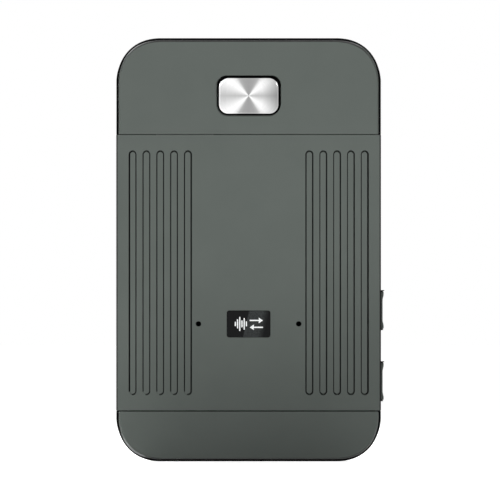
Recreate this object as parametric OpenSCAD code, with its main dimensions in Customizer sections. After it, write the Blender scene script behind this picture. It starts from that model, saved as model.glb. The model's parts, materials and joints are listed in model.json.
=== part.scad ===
// Handheld voice translator. Two end caps and a middle panel that wraps round the sides cover a
// black frame, and a rear cover closes it. A spun metal talk button, a small display window with
// a microphone hole on each side, two groups of grip ribs and two side keys are on the outside.
// Every piece is drawn lying on its back: x across the face, y up the face from the standing
// edge, z towards the viewer. stand() then sets it upright, so the face looks along -Y.

/* [Body] */
// Width across the face
body_w = 60; // [59:0.5:70]
// Height from the standing edge to the top edge
body_h = 96; // [95:0.5:110]
// Thickness from face to back
body_t = 11.6; // [11.4:0.1:14]
// Radius of the four corners of the outline
corner_r = 10; // [9:0.25:11]
// Height of the bottom cap's zone
bottom_zone = 11.45; // [11.3:0.05:12.5]
// Height of the top cap's zone
top_zone = 21.9; // [21:0.1:24]

/* [Shells] */
// Thickness of the caps and of the panel behind the face
face_wall = 1.2; // [1:0.05:1.4]
// Thickness of the panel's side walls
side_wall = 1.2; // [1:0.05:1.3]
// Thickness of the rear cover behind the back
back_wall = 1.3; // [1.1:0.05:1.4]
// Thickness of the frame's ring
frame_wall = 2.5; // [2.4:0.05:2.7]
// How far the caps stand in from the frame's outline
cap_inset = 0.55; // [0.2:0.05:0.8]
// Depth of the caps, from the face to the frame
cap_depth = 2.6; // [2.4:0.05:2.8]
// Depth of the rear cover, from the back to the frame
cover_depth = 2.8; // [2.6:0.05:2.9]
// Rounding of the caps' front edge
cap_round = 0.6; // [0.3:0.05:1.4]
// Rounding of the panel's front edges
panel_round = 0.6; // [0.3:0.05:1]
// Rounding of the rear cover's edge
cover_round = 2.4; // [1.5:0.1:2.5]
// Width of the seam between top cap and panel
top_seam = 0.12; // [0.08:0.02:0.3]
// Width of the seam between bottom cap and panel
bottom_seam = 0.22; // [0.1:0.02:0.4]
// How far a cap's lip runs under the panel
lip_reach = 1.5; // [1:0.1:2]
// Thickness of a cap's lip
lip_t = 0.8; // [0.6:0.05:0.9]
// Thickness of the tongue that locates a cap in the frame
tongue_t = 0.6; // [0.4:0.05:0.7]
// Height of that tongue
tongue_h = 0.8; // [0.5:0.05:0.9]
// Clearance between shells that locate each other
fit_gap = 0.1; // [0.05:0.01:0.15]
// Thickness of the rear cover's side ribs, which locate it in the frame
rib_t = 0.6; // [0.5:0.05:0.8]
// How far those ribs reach into the frame
rib_reach = 0.8; // [0.5:0.05:1]

/* [Grip ribs] */
// Ribs in each group
grip_count = 5; // [3:1:5]
// Distance from one rib's middle to the next
grip_pitch = 3.13; // [2.9:0.01:3.3]
// Distance of the innermost rib from the middle of the face
grip_start = 13.77; // [13:0.01:14]
// Width of a rib between the middles of its groove
grip_w = 1.54; // [1.3:0.01:1.7]
// Width of the groove round a rib
groove_w = 0.4; // [0.3:0.02:0.5]
// Depth of the groove round a rib
groove_depth = 0.4; // [0.2:0.05:0.6]
// Distance of the ribs' feet from the bottom seam
grip_foot = 3.65; // [3:0.05:5]
// Distance of the ribs' heads from the top seam
grip_head = 3.7; // [3:0.05:5]

/* [Talk button] */
// Width of the metal cap
talk_w = 13.5; // [12:0.1:15]
// Height of the metal cap
talk_h = 8.1; // [7:0.1:9]
// Corner radius of the metal cap
talk_corner = 2.05; // [1.5:0.05:2.5]
// Distance of the button's middle from the top edge
talk_down = 13.1; // [12.5:0.1:13.5]
// How far the metal cap stands out of the face
talk_proud = 0.3; // [0.1:0.05:0.6]
// Thickness of the metal cap
talk_cap_t = 1; // [0.8:0.05:1.1]
// Turned edge of the metal cap
talk_bevel = 0.22; // [0.1:0.02:0.3]
// Gap round the metal cap in the face
talk_gap = 0.5; // [0.3:0.05:0.7]
// Clearance of the carrier in its guide
guide_gap = 0.12; // [0.08:0.01:0.2]
// Width of the guide's ring
guide_wall = 1.4; // [1.2:0.05:1.8]
// Thickness of the guide's ring
guide_t = 1.1; // [0.9:0.05:1.2]
// How far the carrier's flange stands out
flange_w = 0.9; // [0.6:0.05:1.2]
// Thickness of the carrier's flange
flange_t = 0.5; // [0.4:0.05:0.55]
// Travel of the talk button
talk_travel = 0.35; // [0.2:0.05:0.4]
// Play in front of a button's flange at rest
flange_play = 0.05; // [0.02:0.01:0.08]

/* [Display] */
// Width of the window
window_w = 10; // [9:0.1:11]
// Height of the window
window_h = 6.2; // [5.5:0.1:7]
// Corner radius of the window
window_corner = 0.6; // [0.3:0.05:1]
// Height of the window's middle above the standing edge
window_up = 31.2; // [30:0.1:33]
// Gap round the window in the face
window_gap = 0.05; // [0.03:0.01:0.1]
// Width of the window's flange behind the panel
window_flange = 0.9; // [0.7:0.05:1.2]
// Thickness of the window's flange
window_flange_t = 0.5; // [0.4:0.05:0.6]
// Thickness of the tape that holds the window
window_tape_t = 0.2; // [0.1:0.02:0.25]
// Width of the display module
oled_w = 12; // [11:0.1:13]
// Height of the display module
oled_h = 11; // [10:0.1:12]
// Thickness of the display module
oled_t = 1.25; // [1:0.05:1.4]
// Clearance between window and display module
oled_gap = 0.1; // [0.05:0.01:0.2]
// How far the window's middle is above the module's middle
oled_shift = 1.9; // [1.5:0.1:2.2]
// Width of the display's flexible strip
strip_w = 6; // [4:0.5:8]
// Thickness of the display's flexible strip
strip_t = 0.15; // [0.1:0.01:0.2]

/* [Microphones] */
// Diameter of the hole in front of each microphone
mic_hole = 1.13; // [0.8:0.01:1.4]
// Distance between the two microphones
mic_spread = 22.72; // [22:0.02:24]
// Diameter of a microphone
mic_d = 4; // [3:0.1:4.2]
// Thickness of a microphone
mic_t = 1.5; // [1.2:0.05:1.8]
// Wall of a microphone's rubber boot
boot_wall = 0.7; // [0.5:0.05:0.9]

/* [Side keys] */
// Length of a side key
key_l = 9.1; // [8:0.1:10]
// Height of a side key, across the body's thickness
key_t = 3; // [2.4:0.1:3.1]
// Corner radius of a side key
key_corner = 0.9; // [0.5:0.05:1.1]
// Height of the upper key's middle above the standing edge
key_upper = 34.3; // [33:0.1:36]
// Height of the lower key's middle above the standing edge
key_lower = 18.15; // [18:0.05:20]
// How far a key's ends stand out of the side
key_proud = 0.65; // [0.6:0.05:1]
// Depth of the dish between a key's ends
key_dish = 0.25; // [0.1:0.05:0.3]
// Length of the dish
key_dish_l = 5.6; // [4:0.1:6]
// How far a key's rubber base stands out of the side
base_proud = 0.3; // [0.3:0.05:0.35]
// Width of the rubber base round the key's cap
base_rim = 0.3; // [0.2:0.05:0.4]
// Depth of the cap's seat in the base
cap_seat = 0.6; // [0.4:0.05:0.8]
// Clearance of a key in the panel's side
key_gap = 0.12; // [0.08:0.01:0.2]
// Width of the flange round a key's base
key_flange = 0.45; // [0.3:0.05:0.5]
// Thickness of that flange
key_flange_t = 0.5; // [0.4:0.05:0.6]
// Travel of a side key
key_travel = 0.3; // [0.2:0.05:0.3]

/* [Board] */
// Depth of the board's front below the face
board_depth = 4.4; // [4.3:0.05:4.5]
// Thickness of the board
board_t = 0.8; // [0.6:0.05:0.9]
// Clearance round the board
board_gap = 0.2; // [0.15:0.05:0.4]
// Width of the processor's shield
shield_w = 24; // [20:0.5:26]
// Height of the processor's shield along the board
shield_h = 20; // [16:0.5:24]
// Height of a shield on the board
shield_t = 1.6; // [1.4:0.05:2]
// Sheet thickness of the shields
shield_wall = 0.2; // [0.15:0.01:0.25]
// Width and height of the talk button's switch
switch_size = 4.5; // [4:0.1:5]
// Height of the talk button's switch
switch_t = 1; // [0.9:0.05:1.05]
// Diameter of its plunger
plunger_d = 2; // [1.6:0.1:2.4]
// How deep a plunger stands in its switch at rest
plunger_seat = 0.4; // [0.3:0.05:0.45]
// Clearance of a plunger in its switch
plunger_gap = 0.05; // [0.03:0.01:0.08]
// Length of a side switch along the board's edge
side_switch_l = 4.7; // [4:0.1:5]
// Depth of a side switch from the board's edge
side_switch_w = 2.7; // [2.4:0.1:3]
// Height of a side switch
side_switch_t = 1.6; // [1.4:0.05:1.8]

/* [Power] */
// Width of the battery
battery_w = 48; // [46:0.5:49]
// Height of the battery, without its circuit
battery_h = 48.5; // [45:0.5:54]
// Thickness of the battery
battery_t = 4.2; // [4:0.05:4.3]
// Rounding of the battery's edges
battery_round = 1.2; // [0.8:0.1:1.6]
// Clearance between the speaker's box and the battery
battery_gap = 0.4; // [0.2:0.05:1]
// Thickness of the tape between battery and board
battery_tape_t = 0.3; // [0.2:0.05:0.35]
// Height of the battery's circuit
circuit_h = 3; // [2.5:0.1:3.2]
// Width of the charging socket
usb_w = 8.94; // [8.8:0.01:9.1]
// Height of the charging socket
usb_t = 3.2; // [3.1:0.01:3.26]
// Length of the charging socket
usb_l = 7.3; // [6.5:0.1:7.5]
// Corner radius of the charging socket
usb_corner = 1.3; // [1:0.05:1.5]
// Sheet thickness of the charging socket
usb_wall = 0.3; // [0.25:0.01:0.35]
// How far the socket's mouth lies inside the bottom edge
usb_recess = 0.35; // [0.2:0.05:0.6]
// Clearance of the socket in the frame
usb_gap = 0.12; // [0.08:0.01:0.2]

/* [Speaker] */
// Width of the speaker's box
speaker_w = 46; // [44:0.5:48]
// Top of the speaker's box above the standing edge
speaker_top = 24.8; // [24:0.1:26]
// Thickness of the speaker's box
speaker_t = 3.9; // [3.6:0.05:4]
// Width of the sounding membrane
membrane_w = 18; // [16:0.2:19]
// Height of the sounding membrane
membrane_h = 9; // [8.8:0.1:10]
// Corner radius of the membrane
membrane_corner = 4; // [3:0.1:4.3]
// Height of the membrane's middle above the standing edge
membrane_up = 17; // [16.5:0.1:17.5]
// Width of the gasket round the membrane
gasket_w = 1.6; // [1.2:0.1:2]
// Thickness of the gasket
gasket_t = 0.3; // [0.2:0.05:0.4]
// Thickness of the dust mesh
mesh_t = 0.1; // [0.05:0.01:0.15]
// Diameter of a grille hole
grille_hole = 0.9; // [0.7:0.05:1.1]
// Distance between grille holes
grille_pitch = 1.7; // [1.5:0.05:1.9]
// Columns of grille holes
grille_columns = 9; // [5:2:9]
// Rows of grille holes
grille_rows = 3; // [3:2:5]

/* [Screws] */
// Shank diameter of a case screw
screw_d = 1.5; // [1.4:0.05:1.6]
// Head diameter of a case screw
screw_head_d = 2.8; // [2.6:0.05:3]
// Head height of a case screw
screw_head_t = 0.8; // [0.6:0.05:0.9]
// Length of a case screw under its head
screw_l = 4.2; // [3.6:0.1:4.4]
// How far a case screw's head lies below the back
screw_sink = 0.3; // [0.1:0.05:0.4]
// Clearance round a screw's head
head_gap = 0.2; // [0.1:0.05:0.3]
// Clearance round a screw's shank
shank_gap = 0.02; // [0.01:0.01:0.05]
// Radius of the frame's corner posts
post_r = 2.4; // [2.2:0.05:2.6]
// Distance of a corner post's middle from both edges
post_in = 6.1; // [6:0.05:6.3]
// Thickness of the webs that join a post to the frame's ring
post_web = 1.2; // [0.8:0.1:2]
// Shank diameter of a board screw
board_screw_d = 1.2; // [1:0.05:1.3]
// Head diameter of a board screw
board_head_d = 2.4; // [2.2:0.05:2.6]
// Head height of a board screw
board_head_t = 0.6; // [0.5:0.05:0.8]
// Length of a board screw under its head
board_screw_l = 3.4; // [3:0.1:3.6]
// Radius of the lugs that carry the board
lug_r = 1.9; // [1.8:0.05:1.95]
// Distance of a lug's middle from the top or bottom edge
lug_in = 4.3; // [4.2:0.05:4.4]
// Distance of a lug from the middle of the body
lug_side = 12.5; // [12:0.1:13]

/* [Hidden] */
$fn = 96;

// How far a cutting solid runs past the face that it opens
over = 1;

// Colours
case_colour = "#626864";
key_colour = "#5a605c";
black_colour = "#141516";
metal_colour = "#d0d1d1";
board_colour = "#1f4d36";
steel_colour = "#a9acae";

// Planes across the thickness
face = body_t / 2;
back = -body_t / 2;
inner_face = face - face_wall;
inner_back = back + back_wall;
frame_front = face - cap_depth;
frame_back = back + cover_depth;
board_front = face - board_depth;
board_back = board_front - board_t;

// Lines across the face
side = body_w / 2;
top_line = body_h - top_zone;
panel_foot = bottom_zone + bottom_seam / 2;
panel_head = top_line - top_seam / 2;
bottom_cap_end = bottom_zone - bottom_seam / 2;
top_cap_end = top_line + top_seam / 2;
panel_inside = side - side_wall;
frame_step = panel_inside - fit_gap;
frame_inside = side - frame_wall;
talk_up = body_h - talk_down;

// Case screws, from the back inwards
screw_seat = back + screw_sink + screw_head_t;
screw_tip = screw_seat + screw_l;
thread_room = 0.2;
cross_l = 0.6;
cross_w = 0.16;

// Talk button, from the face inwards
talk_front = face + talk_proud;
talk_cap_back = talk_front - talk_cap_t;
guide_back = inner_face - guide_t;
flange_front = guide_back - flange_play;
flange_back = flange_front - flange_t;
switch_front = board_front + switch_t;
switch_floor = switch_front - plunger_seat - talk_travel - plunger_gap;

// Display, from the face inwards
window_sink = 0.05;
window_flange_front = inner_face - window_tape_t;
window_flange_back = window_flange_front - window_flange_t;
oled_front = window_flange_back - oled_gap;
oled_back = oled_front - oled_t;
oled_up = window_up - oled_shift;
oled_foot = oled_up - oled_h / 2;
connector_size = [7, 2.4, 0.8];
strip_run = 3.9;
connector_up = oled_foot - strip_run;
pad_inset = 0.5;
strip_lap = 1.4;

// Side keys, from the side inwards
key_mid = board_front + side_switch_t / 2;
key_flange_out = panel_inside - flange_play;
key_flange_in = key_flange_out - key_flange_t;
base_top = side + base_proud;
side_switch_out = frame_inside - board_gap - fit_gap;
side_plunger = [1.6, 0.9];
side_plunger_seat = 1;
bond_gap = 0.02;
cap_edge = 0.35;

// What stands on the board: sizes, and the middles of those that stand by themselves, which
// keep their distances from the body's sides, its top edge and the radio shield
shield_size = [shield_w, shield_h];
shield_rise = 4;
shield_at = [0, body_h / 2 + shield_rise];
chip_size = [12, 12];
chip_t = 1;
radio_size = [13, 9];
radio_in = 15.5;
radio_down = 24;
radio_at = [radio_in - side, body_h - radio_down];
capacitor_count = 6;
capacitor_size = [1, 2, 0.6];
capacitor_pitch = 3;
capacitor_off = 2;
choke_size = [3, 3, 1.2];
choke_in = 14;
choke_down = 4;
choke_at = [side - choke_in, radio_at.y - choke_down];
crystal_size = [3.2, 2.5, 0.8];
crystal_in = 12;
crystal_down = 8;
crystal_at = [crystal_in - side, radio_at.y - crystal_down];

// Battery, speaker and antenna, from the back forwards
battery_front = board_back - battery_tape_t;
battery_back = battery_front - battery_t;
battery_foot = speaker_top + battery_gap;
battery_head = battery_foot + battery_h;
circuit_head = battery_head + circuit_h;
battery_corner = 2.5;
circuit_w = 40;
circuit_t = 2.6;
plug_size = [5, 2.6, 1.2];
socket_size = [5.6, 3.4, 1.5];
socket_edge = 0.3;
socket_head = body_h - frame_wall - board_gap - socket_edge;
plug_head = socket_head - socket_size.y;
plug_foot = plug_head - plug_size.y;
lead_d = 0.9;
lead_pitch = 1.6;
lead_z = board_back - socket_size.z / 2;
mesh_front = inner_back + mesh_t;
gasket_front = mesh_front + gasket_t;
speaker_front = gasket_front + speaker_t;
membrane_recess = 0.6;
membrane_t = 0.3;
dome_share = 0.5;
usb_mid = board_back - usb_t / 2;
usb_end = usb_recess + usb_l;
tongue_size = [6.7, 0.7];
tongue_back = 1.2;
film_t = 0.15;
inner_clear = 0.2;
bracket_foot = circuit_head + inner_clear;
bracket_front = board_back - socket_size.z - inner_clear;

// ---- helpers ----

// Stands a piece that was drawn lying on its back on the body's bottom edge
module stand() {
    rotate([90, 0, 0]) children();
}

// A quarter of a disc in the first quadrant
module quarter(r) {
    intersection() {
        circle(r);
        square(r);
    }
}

// A rectangle whose round corners are centred a to each side and b up and down
module rounded_about(a, b, r) {
    square([2 * (a + r), 2 * b], center = true);
    for (s = [0, 1]) mirror([0, s]) {
        translate([-a, b]) square([2 * a, r]);
        for (t = [0, 1]) mirror([t, 0]) translate([a, b]) quarter(r);
    }
}

// A rectangle with round corners, about the origin
module rounded(w, h, r) {
    rounded_about(w / 2 - r, h / 2 - r, r);
}

// Section of a slab's edge: r wide, from z0 to z1, with its two outer corners rounded
module edge_section(r, z0, z1, front, rear) {
    translate([0, z0 + rear]) square([r, z1 - z0 - front - rear]);
    if (front > 0) {
        translate([0, z1 - front]) square([r - front, front]);
        translate([r - front, z1 - front]) quarter(front);
    }
    if (rear > 0) {
        translate([0, z0]) square([r - rear, rear]);
        translate([r - rear, z0 + rear]) mirror([0, 1]) quarter(rear);
    }
}

// A slab with round corners, centred a to each side and b up and down, and rounded edges
module slab_about(a, b, r, z0, z1, front, rear) {
    if (front + rear == 0) {
        translate([0, 0, z0]) linear_extrude(height = z1 - z0) rounded_about(a, b, r);
    } else {
        translate([-a, -b, z0]) cube([2 * a, 2 * b, z1 - z0]);
        for (s = [0, 1]) {
            mirror([s, 0, 0]) translate([a, 0, 0]) rotate([90, 0, 0])
                linear_extrude(height = 2 * b, center = true) edge_section(r, z0, z1, front, rear);
            mirror([0, s, 0]) translate([0, b, 0]) rotate([90, 0, 90])
                linear_extrude(height = 2 * a, center = true) edge_section(r, z0, z1, front, rear);
            for (t = [0, 1]) mirror([s, 0, 0]) mirror([0, t, 0]) translate([a, b, 0])
                rotate_extrude(angle = 90) edge_section(r, z0, z1, front, rear);
        }
    }
}

// A slab with round corners and rounded front and rear edges, about the z axis
module slab(w, h, r, z0, z1, front = 0, rear = 0) {
    slab_about(w / 2 - r, h / 2 - r, r, z0, z1, front, rear);
}

// A slab that follows the body's outline at a distance inside it
module body_slab(inset, z0, z1, front = 0, rear = 0) {
    translate([0, body_h / 2, 0])
        slab_about(side - corner_r, body_h / 2 - corner_r, corner_r - inset, z0, z1, front, rear);
}

// Everything between two heights
module zone(y0, y1) {
    translate([-body_w, y0, -body_t]) cube([2 * body_w, y1 - y0, 2 * body_t]);
}

// A rectangle with half-round ends, about the origin
module stadium(w, h) {
    square([w, h - w], center = true);
    for (s = [0, 1], t = [0, 1]) mirror([0, s]) mirror([t, 0])
        translate([0, (h - w) / 2]) quarter(w / 2);
}

// Extrudes an outline drawn in x and z along y
module along_y(y0, y1) {
    translate([0, y1, 0]) rotate([90, 0, 0]) linear_extrude(height = y1 - y0) children();
}

// Extrudes an outline drawn in y and z along x
module along_x(x0, x1) {
    translate([x0, 0, 0]) rotate([90, 0, 90]) linear_extrude(height = x1 - x0) children();
}

// A block about a point of the face, between two planes
module block(size, at, z0, z1) {
    translate([at.x - size.x / 2, at.y - size.y / 2, z0]) cube([size.x, size.y, z1 - z0]);
}

// A cylinder along z between two planes
module column(r, z0, z1) {
    translate([0, 0, z0]) cylinder(r = r, h = z1 - z0);
}

// Places something at the four corner posts, turned so that +x and +y are towards the edges
module at_posts() {
    for (s = [0, 1]) mirror([s, 0, 0]) {
        translate([side - post_in, body_h - post_in, 0]) children();
        translate([side - post_in, post_in, 0]) mirror([0, 1, 0]) children();
    }
}

// Places something at both microphones
module at_microphones() {
    for (x = [-mic_spread / 2, mic_spread / 2]) translate([x, window_up, 0]) children();
}

// Places something at the four board lugs, turned so that +y is towards the nearest edge
module at_lugs() {
    for (x = [-lug_side, lug_side]) {
        translate([x, body_h - lug_in, 0]) children();
        translate([x, lug_in, 0]) mirror([0, 1, 0]) children();
    }
}

// ---- casing ----

// A cap's shell between two heights: face, skirt and the tongue that enters the frame
module cap_shell(y0, y1) {
    difference() {
        intersection() {
            body_slab(cap_inset, frame_front, face, front = cap_round);
            zone(y0, y1);
        }
        body_slab(frame_wall, frame_front - over, inner_face);
    }
    intersection() {
        difference() {
            body_slab(frame_wall - tongue_t, frame_front - tongue_h, inner_face);
            body_slab(frame_wall, frame_front - tongue_h - over, inner_face + over);
        }
        zone(y0, y1);
    }
}

// The lip of a cap, drawn with the cap below y = 0 and the panel's end above it
module cap_lip() {
    w = 2 * (frame_inside - fit_gap);
    translate([-w / 2, -lip_t, inner_face - lip_t]) {
        cube([w, lip_t + lip_reach, lip_t]);
        cube([w, lip_t, lip_t + face_wall / 2]);
    }
}

module top_cap() {
    color(case_colour) stand() difference() {
        union() {
            cap_shell(top_cap_end, body_h + over);
            translate([0, top_cap_end, 0]) mirror([0, 1, 0]) cap_lip();
        }
        translate([0, talk_up, 0]) slab(talk_w + 2 * talk_gap, talk_h + 2 * talk_gap,
            talk_corner + talk_gap, frame_front, face + over);
    }
}

module bottom_cap() {
    color(case_colour) stand() {
        cap_shell(-over, bottom_cap_end);
        translate([0, bottom_cap_end, 0]) cap_lip();
    }
}

// Groove round one grip rib, cut into the face
module grip_groove() {
    foot = panel_foot + grip_foot;
    l = panel_head - grip_head - foot;
    translate([0, foot + l / 2, face - groove_depth]) linear_extrude(height = groove_depth + over)
        difference() {
            stadium(grip_w + groove_w, l + groove_w);
            stadium(grip_w - groove_w, l - groove_w);
        }
}

module middle_panel() {
    color(case_colour) stand() difference() {
        along_y(panel_foot, panel_head) for (s = [0, 1]) mirror([s, 0]) {
            translate([panel_inside, frame_back]) square([side_wall, inner_face - frame_back]);
            translate([0, inner_face]) square([side, face_wall - panel_round]);
            translate([0, face - panel_round]) square([side - panel_round, panel_round]);
            translate([side - panel_round, face - panel_round]) quarter(panel_round);
        }
        for (s = [-1, 1], i = [0 : grip_count - 1])
            translate([s * (grip_start + i * grip_pitch), 0, 0]) grip_groove();
        translate([0, window_up, 0]) slab(window_w + 2 * window_gap, window_h + 2 * window_gap,
            window_corner + window_gap, inner_face - over, face + over);
        at_microphones() column(mic_hole / 2, inner_face - over, face + over);
        for (y = [key_upper, key_lower]) along_x(panel_inside - over, side + over)
            translate([y, key_mid])
                rounded(key_l + 2 * key_gap, key_t + 2 * key_gap, key_corner + key_gap);
    }
}

// The frame's ring, stepped for the panel's sides and open where the keys' flanges move
module frame_ring() {
    difference() {
        body_slab(0, frame_back, frame_front);
        body_slab(frame_wall, frame_back - over, frame_front + over);
        for (y = [[-over, bottom_cap_end], [top_cap_end, body_h + over]]) intersection() {
            body_slab(frame_wall - tongue_t - fit_gap, frame_front - tongue_h - fit_gap,
                frame_front + over);
            zone(y[0], y[1]);
        }
        for (s = [0, 1]) mirror([s, 0, 0]) translate([frame_step, bottom_cap_end, frame_back - over])
            cube([side, top_cap_end - bottom_cap_end, body_t]);
        for (y = [key_upper, key_lower]) translate([frame_inside - over,
                y - key_l / 2 - key_flange - fit_gap, key_mid - key_t / 2 - key_flange - fit_gap])
            cube([frame_wall, key_l + 2 * (key_flange + fit_gap), body_t]);
    }
}

module mid_frame() {
    color(black_colour) stand() difference() {
        union() {
            frame_ring();
            at_posts() {
                column(post_r, frame_back, board_back);
                translate([0, -post_web / 2, frame_back])
                    cube([post_in - frame_wall + fit_gap, post_web, board_back - frame_back]);
                translate([-post_web / 2, 0, frame_back])
                    cube([post_web, post_in - frame_wall + fit_gap, board_back - frame_back]);
            }
            at_lugs() {
                column(lug_r, frame_back, board_back);
                translate([-lug_r, 0, frame_back])
                    cube([2 * lug_r, lug_in - frame_wall + fit_gap, board_back - frame_back]);
            }
        }
        at_posts() column(screw_d / 2 + shank_gap, frame_back - over, screw_tip + thread_room);
        at_lugs() column(board_screw_d / 2 + shank_gap,
            board_front - board_screw_l - thread_room, board_back + over);
        along_y(-over, frame_wall + over) translate([0, usb_mid])
            rounded(usb_w + 2 * usb_gap, usb_t + 2 * usb_gap, usb_corner + usb_gap);
    }
}

// One of the rear cover's side ribs, against the frame's inside
module cover_rib() {
    l = panel_head - panel_foot;
    translate([frame_inside - fit_gap - rib_t, panel_foot, inner_back - fit_gap])
        cube([rib_t, l, frame_back + rib_reach - inner_back + fit_gap]);
    translate([frame_inside - rib_t, panel_foot, inner_back - fit_gap])
        cube([2 * rib_t, l, frame_back - inner_back + fit_gap]);
}

module rear_cover() {
    color(case_colour) stand() difference() {
        union() {
            difference() {
                body_slab(0, back, frame_back, rear = cover_round);
                body_slab(frame_wall, inner_back, frame_back + over);
            }
            at_posts() column(post_r, inner_back - fit_gap, frame_back);
            for (s = [0, 1]) mirror([s, 0, 0]) cover_rib();
        }
        at_posts() {
            column(screw_d / 2 + shank_gap, back - over, frame_back + over);
            column(screw_head_d / 2 + head_gap, back - over, screw_seat);
        }
        for (i = [0 : grille_columns - 1], j = [0 : grille_rows - 1])
            translate([(i - (grille_columns - 1) / 2) * grille_pitch,
                    membrane_up + (j - (grille_rows - 1) / 2) * grille_pitch, 0])
                column(grille_hole / 2, back - over, inner_back + over);
    }
}

// Cross recess of a screw head, about plane z and a depth to each side
module cross_recess(head_d, z, depth) {
    for (a = [0, 90]) translate([0, 0, z]) rotate(a)
        cube([cross_l * head_d, cross_w * head_d, 2 * depth], center = true);
}

module case_screws() {
    color(steel_colour) stand() at_posts() difference() {
        union() {
            column(screw_head_d / 2, screw_seat - screw_head_t, screw_seat);
            column(screw_d / 2, screw_seat, screw_tip);
        }
        cross_recess(screw_head_d, screw_seat - screw_head_t, screw_head_t / 2);
    }
}

// ---- talk button ----

module talk_button_cap() {
    color(metal_colour) stand() translate([0, talk_up, 0])
        slab(talk_w, talk_h, talk_corner, talk_cap_back, talk_front, front = talk_bevel);
}

module talk_button_carrier() {
    color(black_colour) stand() translate([0, talk_up, 0]) {
        slab(talk_w, talk_h, talk_corner, flange_front, talk_cap_back);
        slab(talk_w + 2 * flange_w, talk_h + 2 * flange_w, talk_corner + flange_w,
            flange_back, flange_front);
    }
}

// Ring bonded behind the top cap, in which the carrier slides
module talk_button_guide() {
    outer = guide_gap + guide_wall;
    color(black_colour) stand() translate([0, talk_up, 0]) difference() {
        slab(talk_w + 2 * outer, talk_h + 2 * outer, talk_corner + outer, guide_back, inner_face);
        slab(talk_w + 2 * guide_gap, talk_h + 2 * guide_gap, talk_corner + guide_gap,
            guide_back - over, inner_face + over);
    }
}

module talk_switch() {
    color(steel_colour) stand() difference() {
        block([switch_size, switch_size], [0, talk_up], board_front, switch_front);
        translate([0, talk_up, 0])
            column(plunger_d / 2 + plunger_gap, switch_floor, switch_front + over);
    }
}

module talk_plunger() {
    color(black_colour) stand() translate([0, talk_up, 0])
        column(plunger_d / 2, switch_front - plunger_seat, flange_back);
}

// ---- display ----

module display_window() {
    color(black_colour) stand() translate([0, window_up, 0]) {
        slab(window_w, window_h, window_corner, window_flange_front, face - window_sink);
        slab(window_w + 2 * window_flange, window_h + 2 * window_flange,
            window_corner + window_flange, window_flange_back, window_flange_front);
    }
}

module window_tape() {
    color(black_colour) stand() translate([0, window_up, 0]) difference() {
        slab(window_w + 2 * window_flange, window_h + 2 * window_flange,
            window_corner + window_flange, window_flange_front, inner_face);
        slab(window_w + 2 * window_gap, window_h + 2 * window_gap, window_corner + window_gap,
            window_flange_front - over, inner_face + over);
    }
}

module display_module() {
    color("#2b3138") stand()
        block([oled_w, oled_h], [0, oled_up], oled_back, oled_front);
}

module display_pad() {
    foot = oled_foot + strip_lap + inner_clear;
    head = oled_up + oled_h / 2 - pad_inset;
    color("#2a2a2a") stand() block([oled_w - 2 * pad_inset, head - foot],
        [0, (foot + head) / 2], board_front, oled_back);
}

// Flexible strip from under the display module down to the top of its connector
module display_strip() {
    top = board_front + connector_size.z;
    bend = oled_foot - strip_lap;
    rest = connector_up + connector_size.y / 2;
    foot = connector_up - connector_size.y / 2;
    lap = oled_foot + strip_lap;
    color("#b5651d") stand() along_x(-strip_w / 2, strip_w / 2) polygon([
        [lap, oled_back], [bend, oled_back], [rest, top + strip_t], [foot, top + strip_t],
        [foot, top], [rest, top], [bend, oled_back - strip_t], [lap, oled_back - strip_t]]);
}

module display_connector() {
    color("#d8d2c0") stand()
        block(connector_size, [0, connector_up], board_front, board_front + connector_size.z);
}

// ---- microphones ----

module microphones() {
    color(steel_colour) stand() at_microphones()
        column(mic_d / 2, board_front, board_front + mic_t);
}

module microphone_boots() {
    color("#1c1c1e") stand() at_microphones() difference() {
        column(mic_d / 2 + boot_wall, board_front, inner_face);
        column(mic_d / 2, board_front - over, board_front + mic_t);
        column(mic_hole / 2, board_front, inner_face + over);
    }
}

// ---- side keys ----

// Outline of a key's cap seen along the body's thickness, from its seat outwards
module key_cap_profile() {
    l = key_l - 2 * base_rim;
    seat = base_top - cap_seat;
    out = side + key_proud;
    dish_r = (key_dish_l * key_dish_l / 4 + key_dish * key_dish) / (2 * key_dish);
    difference() {
        union() {
            translate([seat, -l / 2]) square([out - cap_edge - seat, l]);
            translate([out - cap_edge, cap_edge - l / 2]) square([cap_edge, l - 2 * cap_edge]);
            for (s = [0, 1]) mirror([0, s]) translate([out - cap_edge, l / 2 - cap_edge])
                quarter(cap_edge);
        }
        translate([out - key_dish + dish_r, 0]) circle(dish_r);
    }
}

module key_cap(up) {
    color(key_colour) stand() translate([0, up, key_mid]) intersection() {
        linear_extrude(height = key_t, center = true) key_cap_profile();
        along_x(base_top - cap_seat, side + key_proud)
            rounded(key_l - 2 * base_rim, key_t - 2 * base_rim, key_corner - base_rim);
    }
}

module key_base(up) {
    rim = base_rim - bond_gap;
    color("#1c1c1e") stand() translate([0, up, key_mid]) difference() {
        union() {
            along_x(key_flange_out, base_top) rounded(key_l, key_t, key_corner);
            along_x(key_flange_in, key_flange_out)
                rounded(key_l + 2 * key_flange, key_t + 2 * key_flange, key_corner + key_flange);
        }
        along_x(base_top - cap_seat, base_top + over)
            rounded(key_l - 2 * rim, key_t - 2 * rim, key_corner - rim);
    }
}

module side_plunger_bar(up) {
    color(black_colour) stand()
        translate([side_switch_out - side_plunger_seat, up - side_plunger.x / 2,
                key_mid - side_plunger.y / 2])
            cube([key_flange_in - side_switch_out + side_plunger_seat,
                side_plunger.x, side_plunger.y]);
}

module upper_key_cap() { key_cap(key_upper); }
module upper_key_base() { key_base(key_upper); }
module upper_plunger() { side_plunger_bar(key_upper); }
module lower_key_cap() { key_cap(key_lower); }
module lower_key_base() { key_base(key_lower); }
module lower_plunger() { side_plunger_bar(key_lower); }

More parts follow.
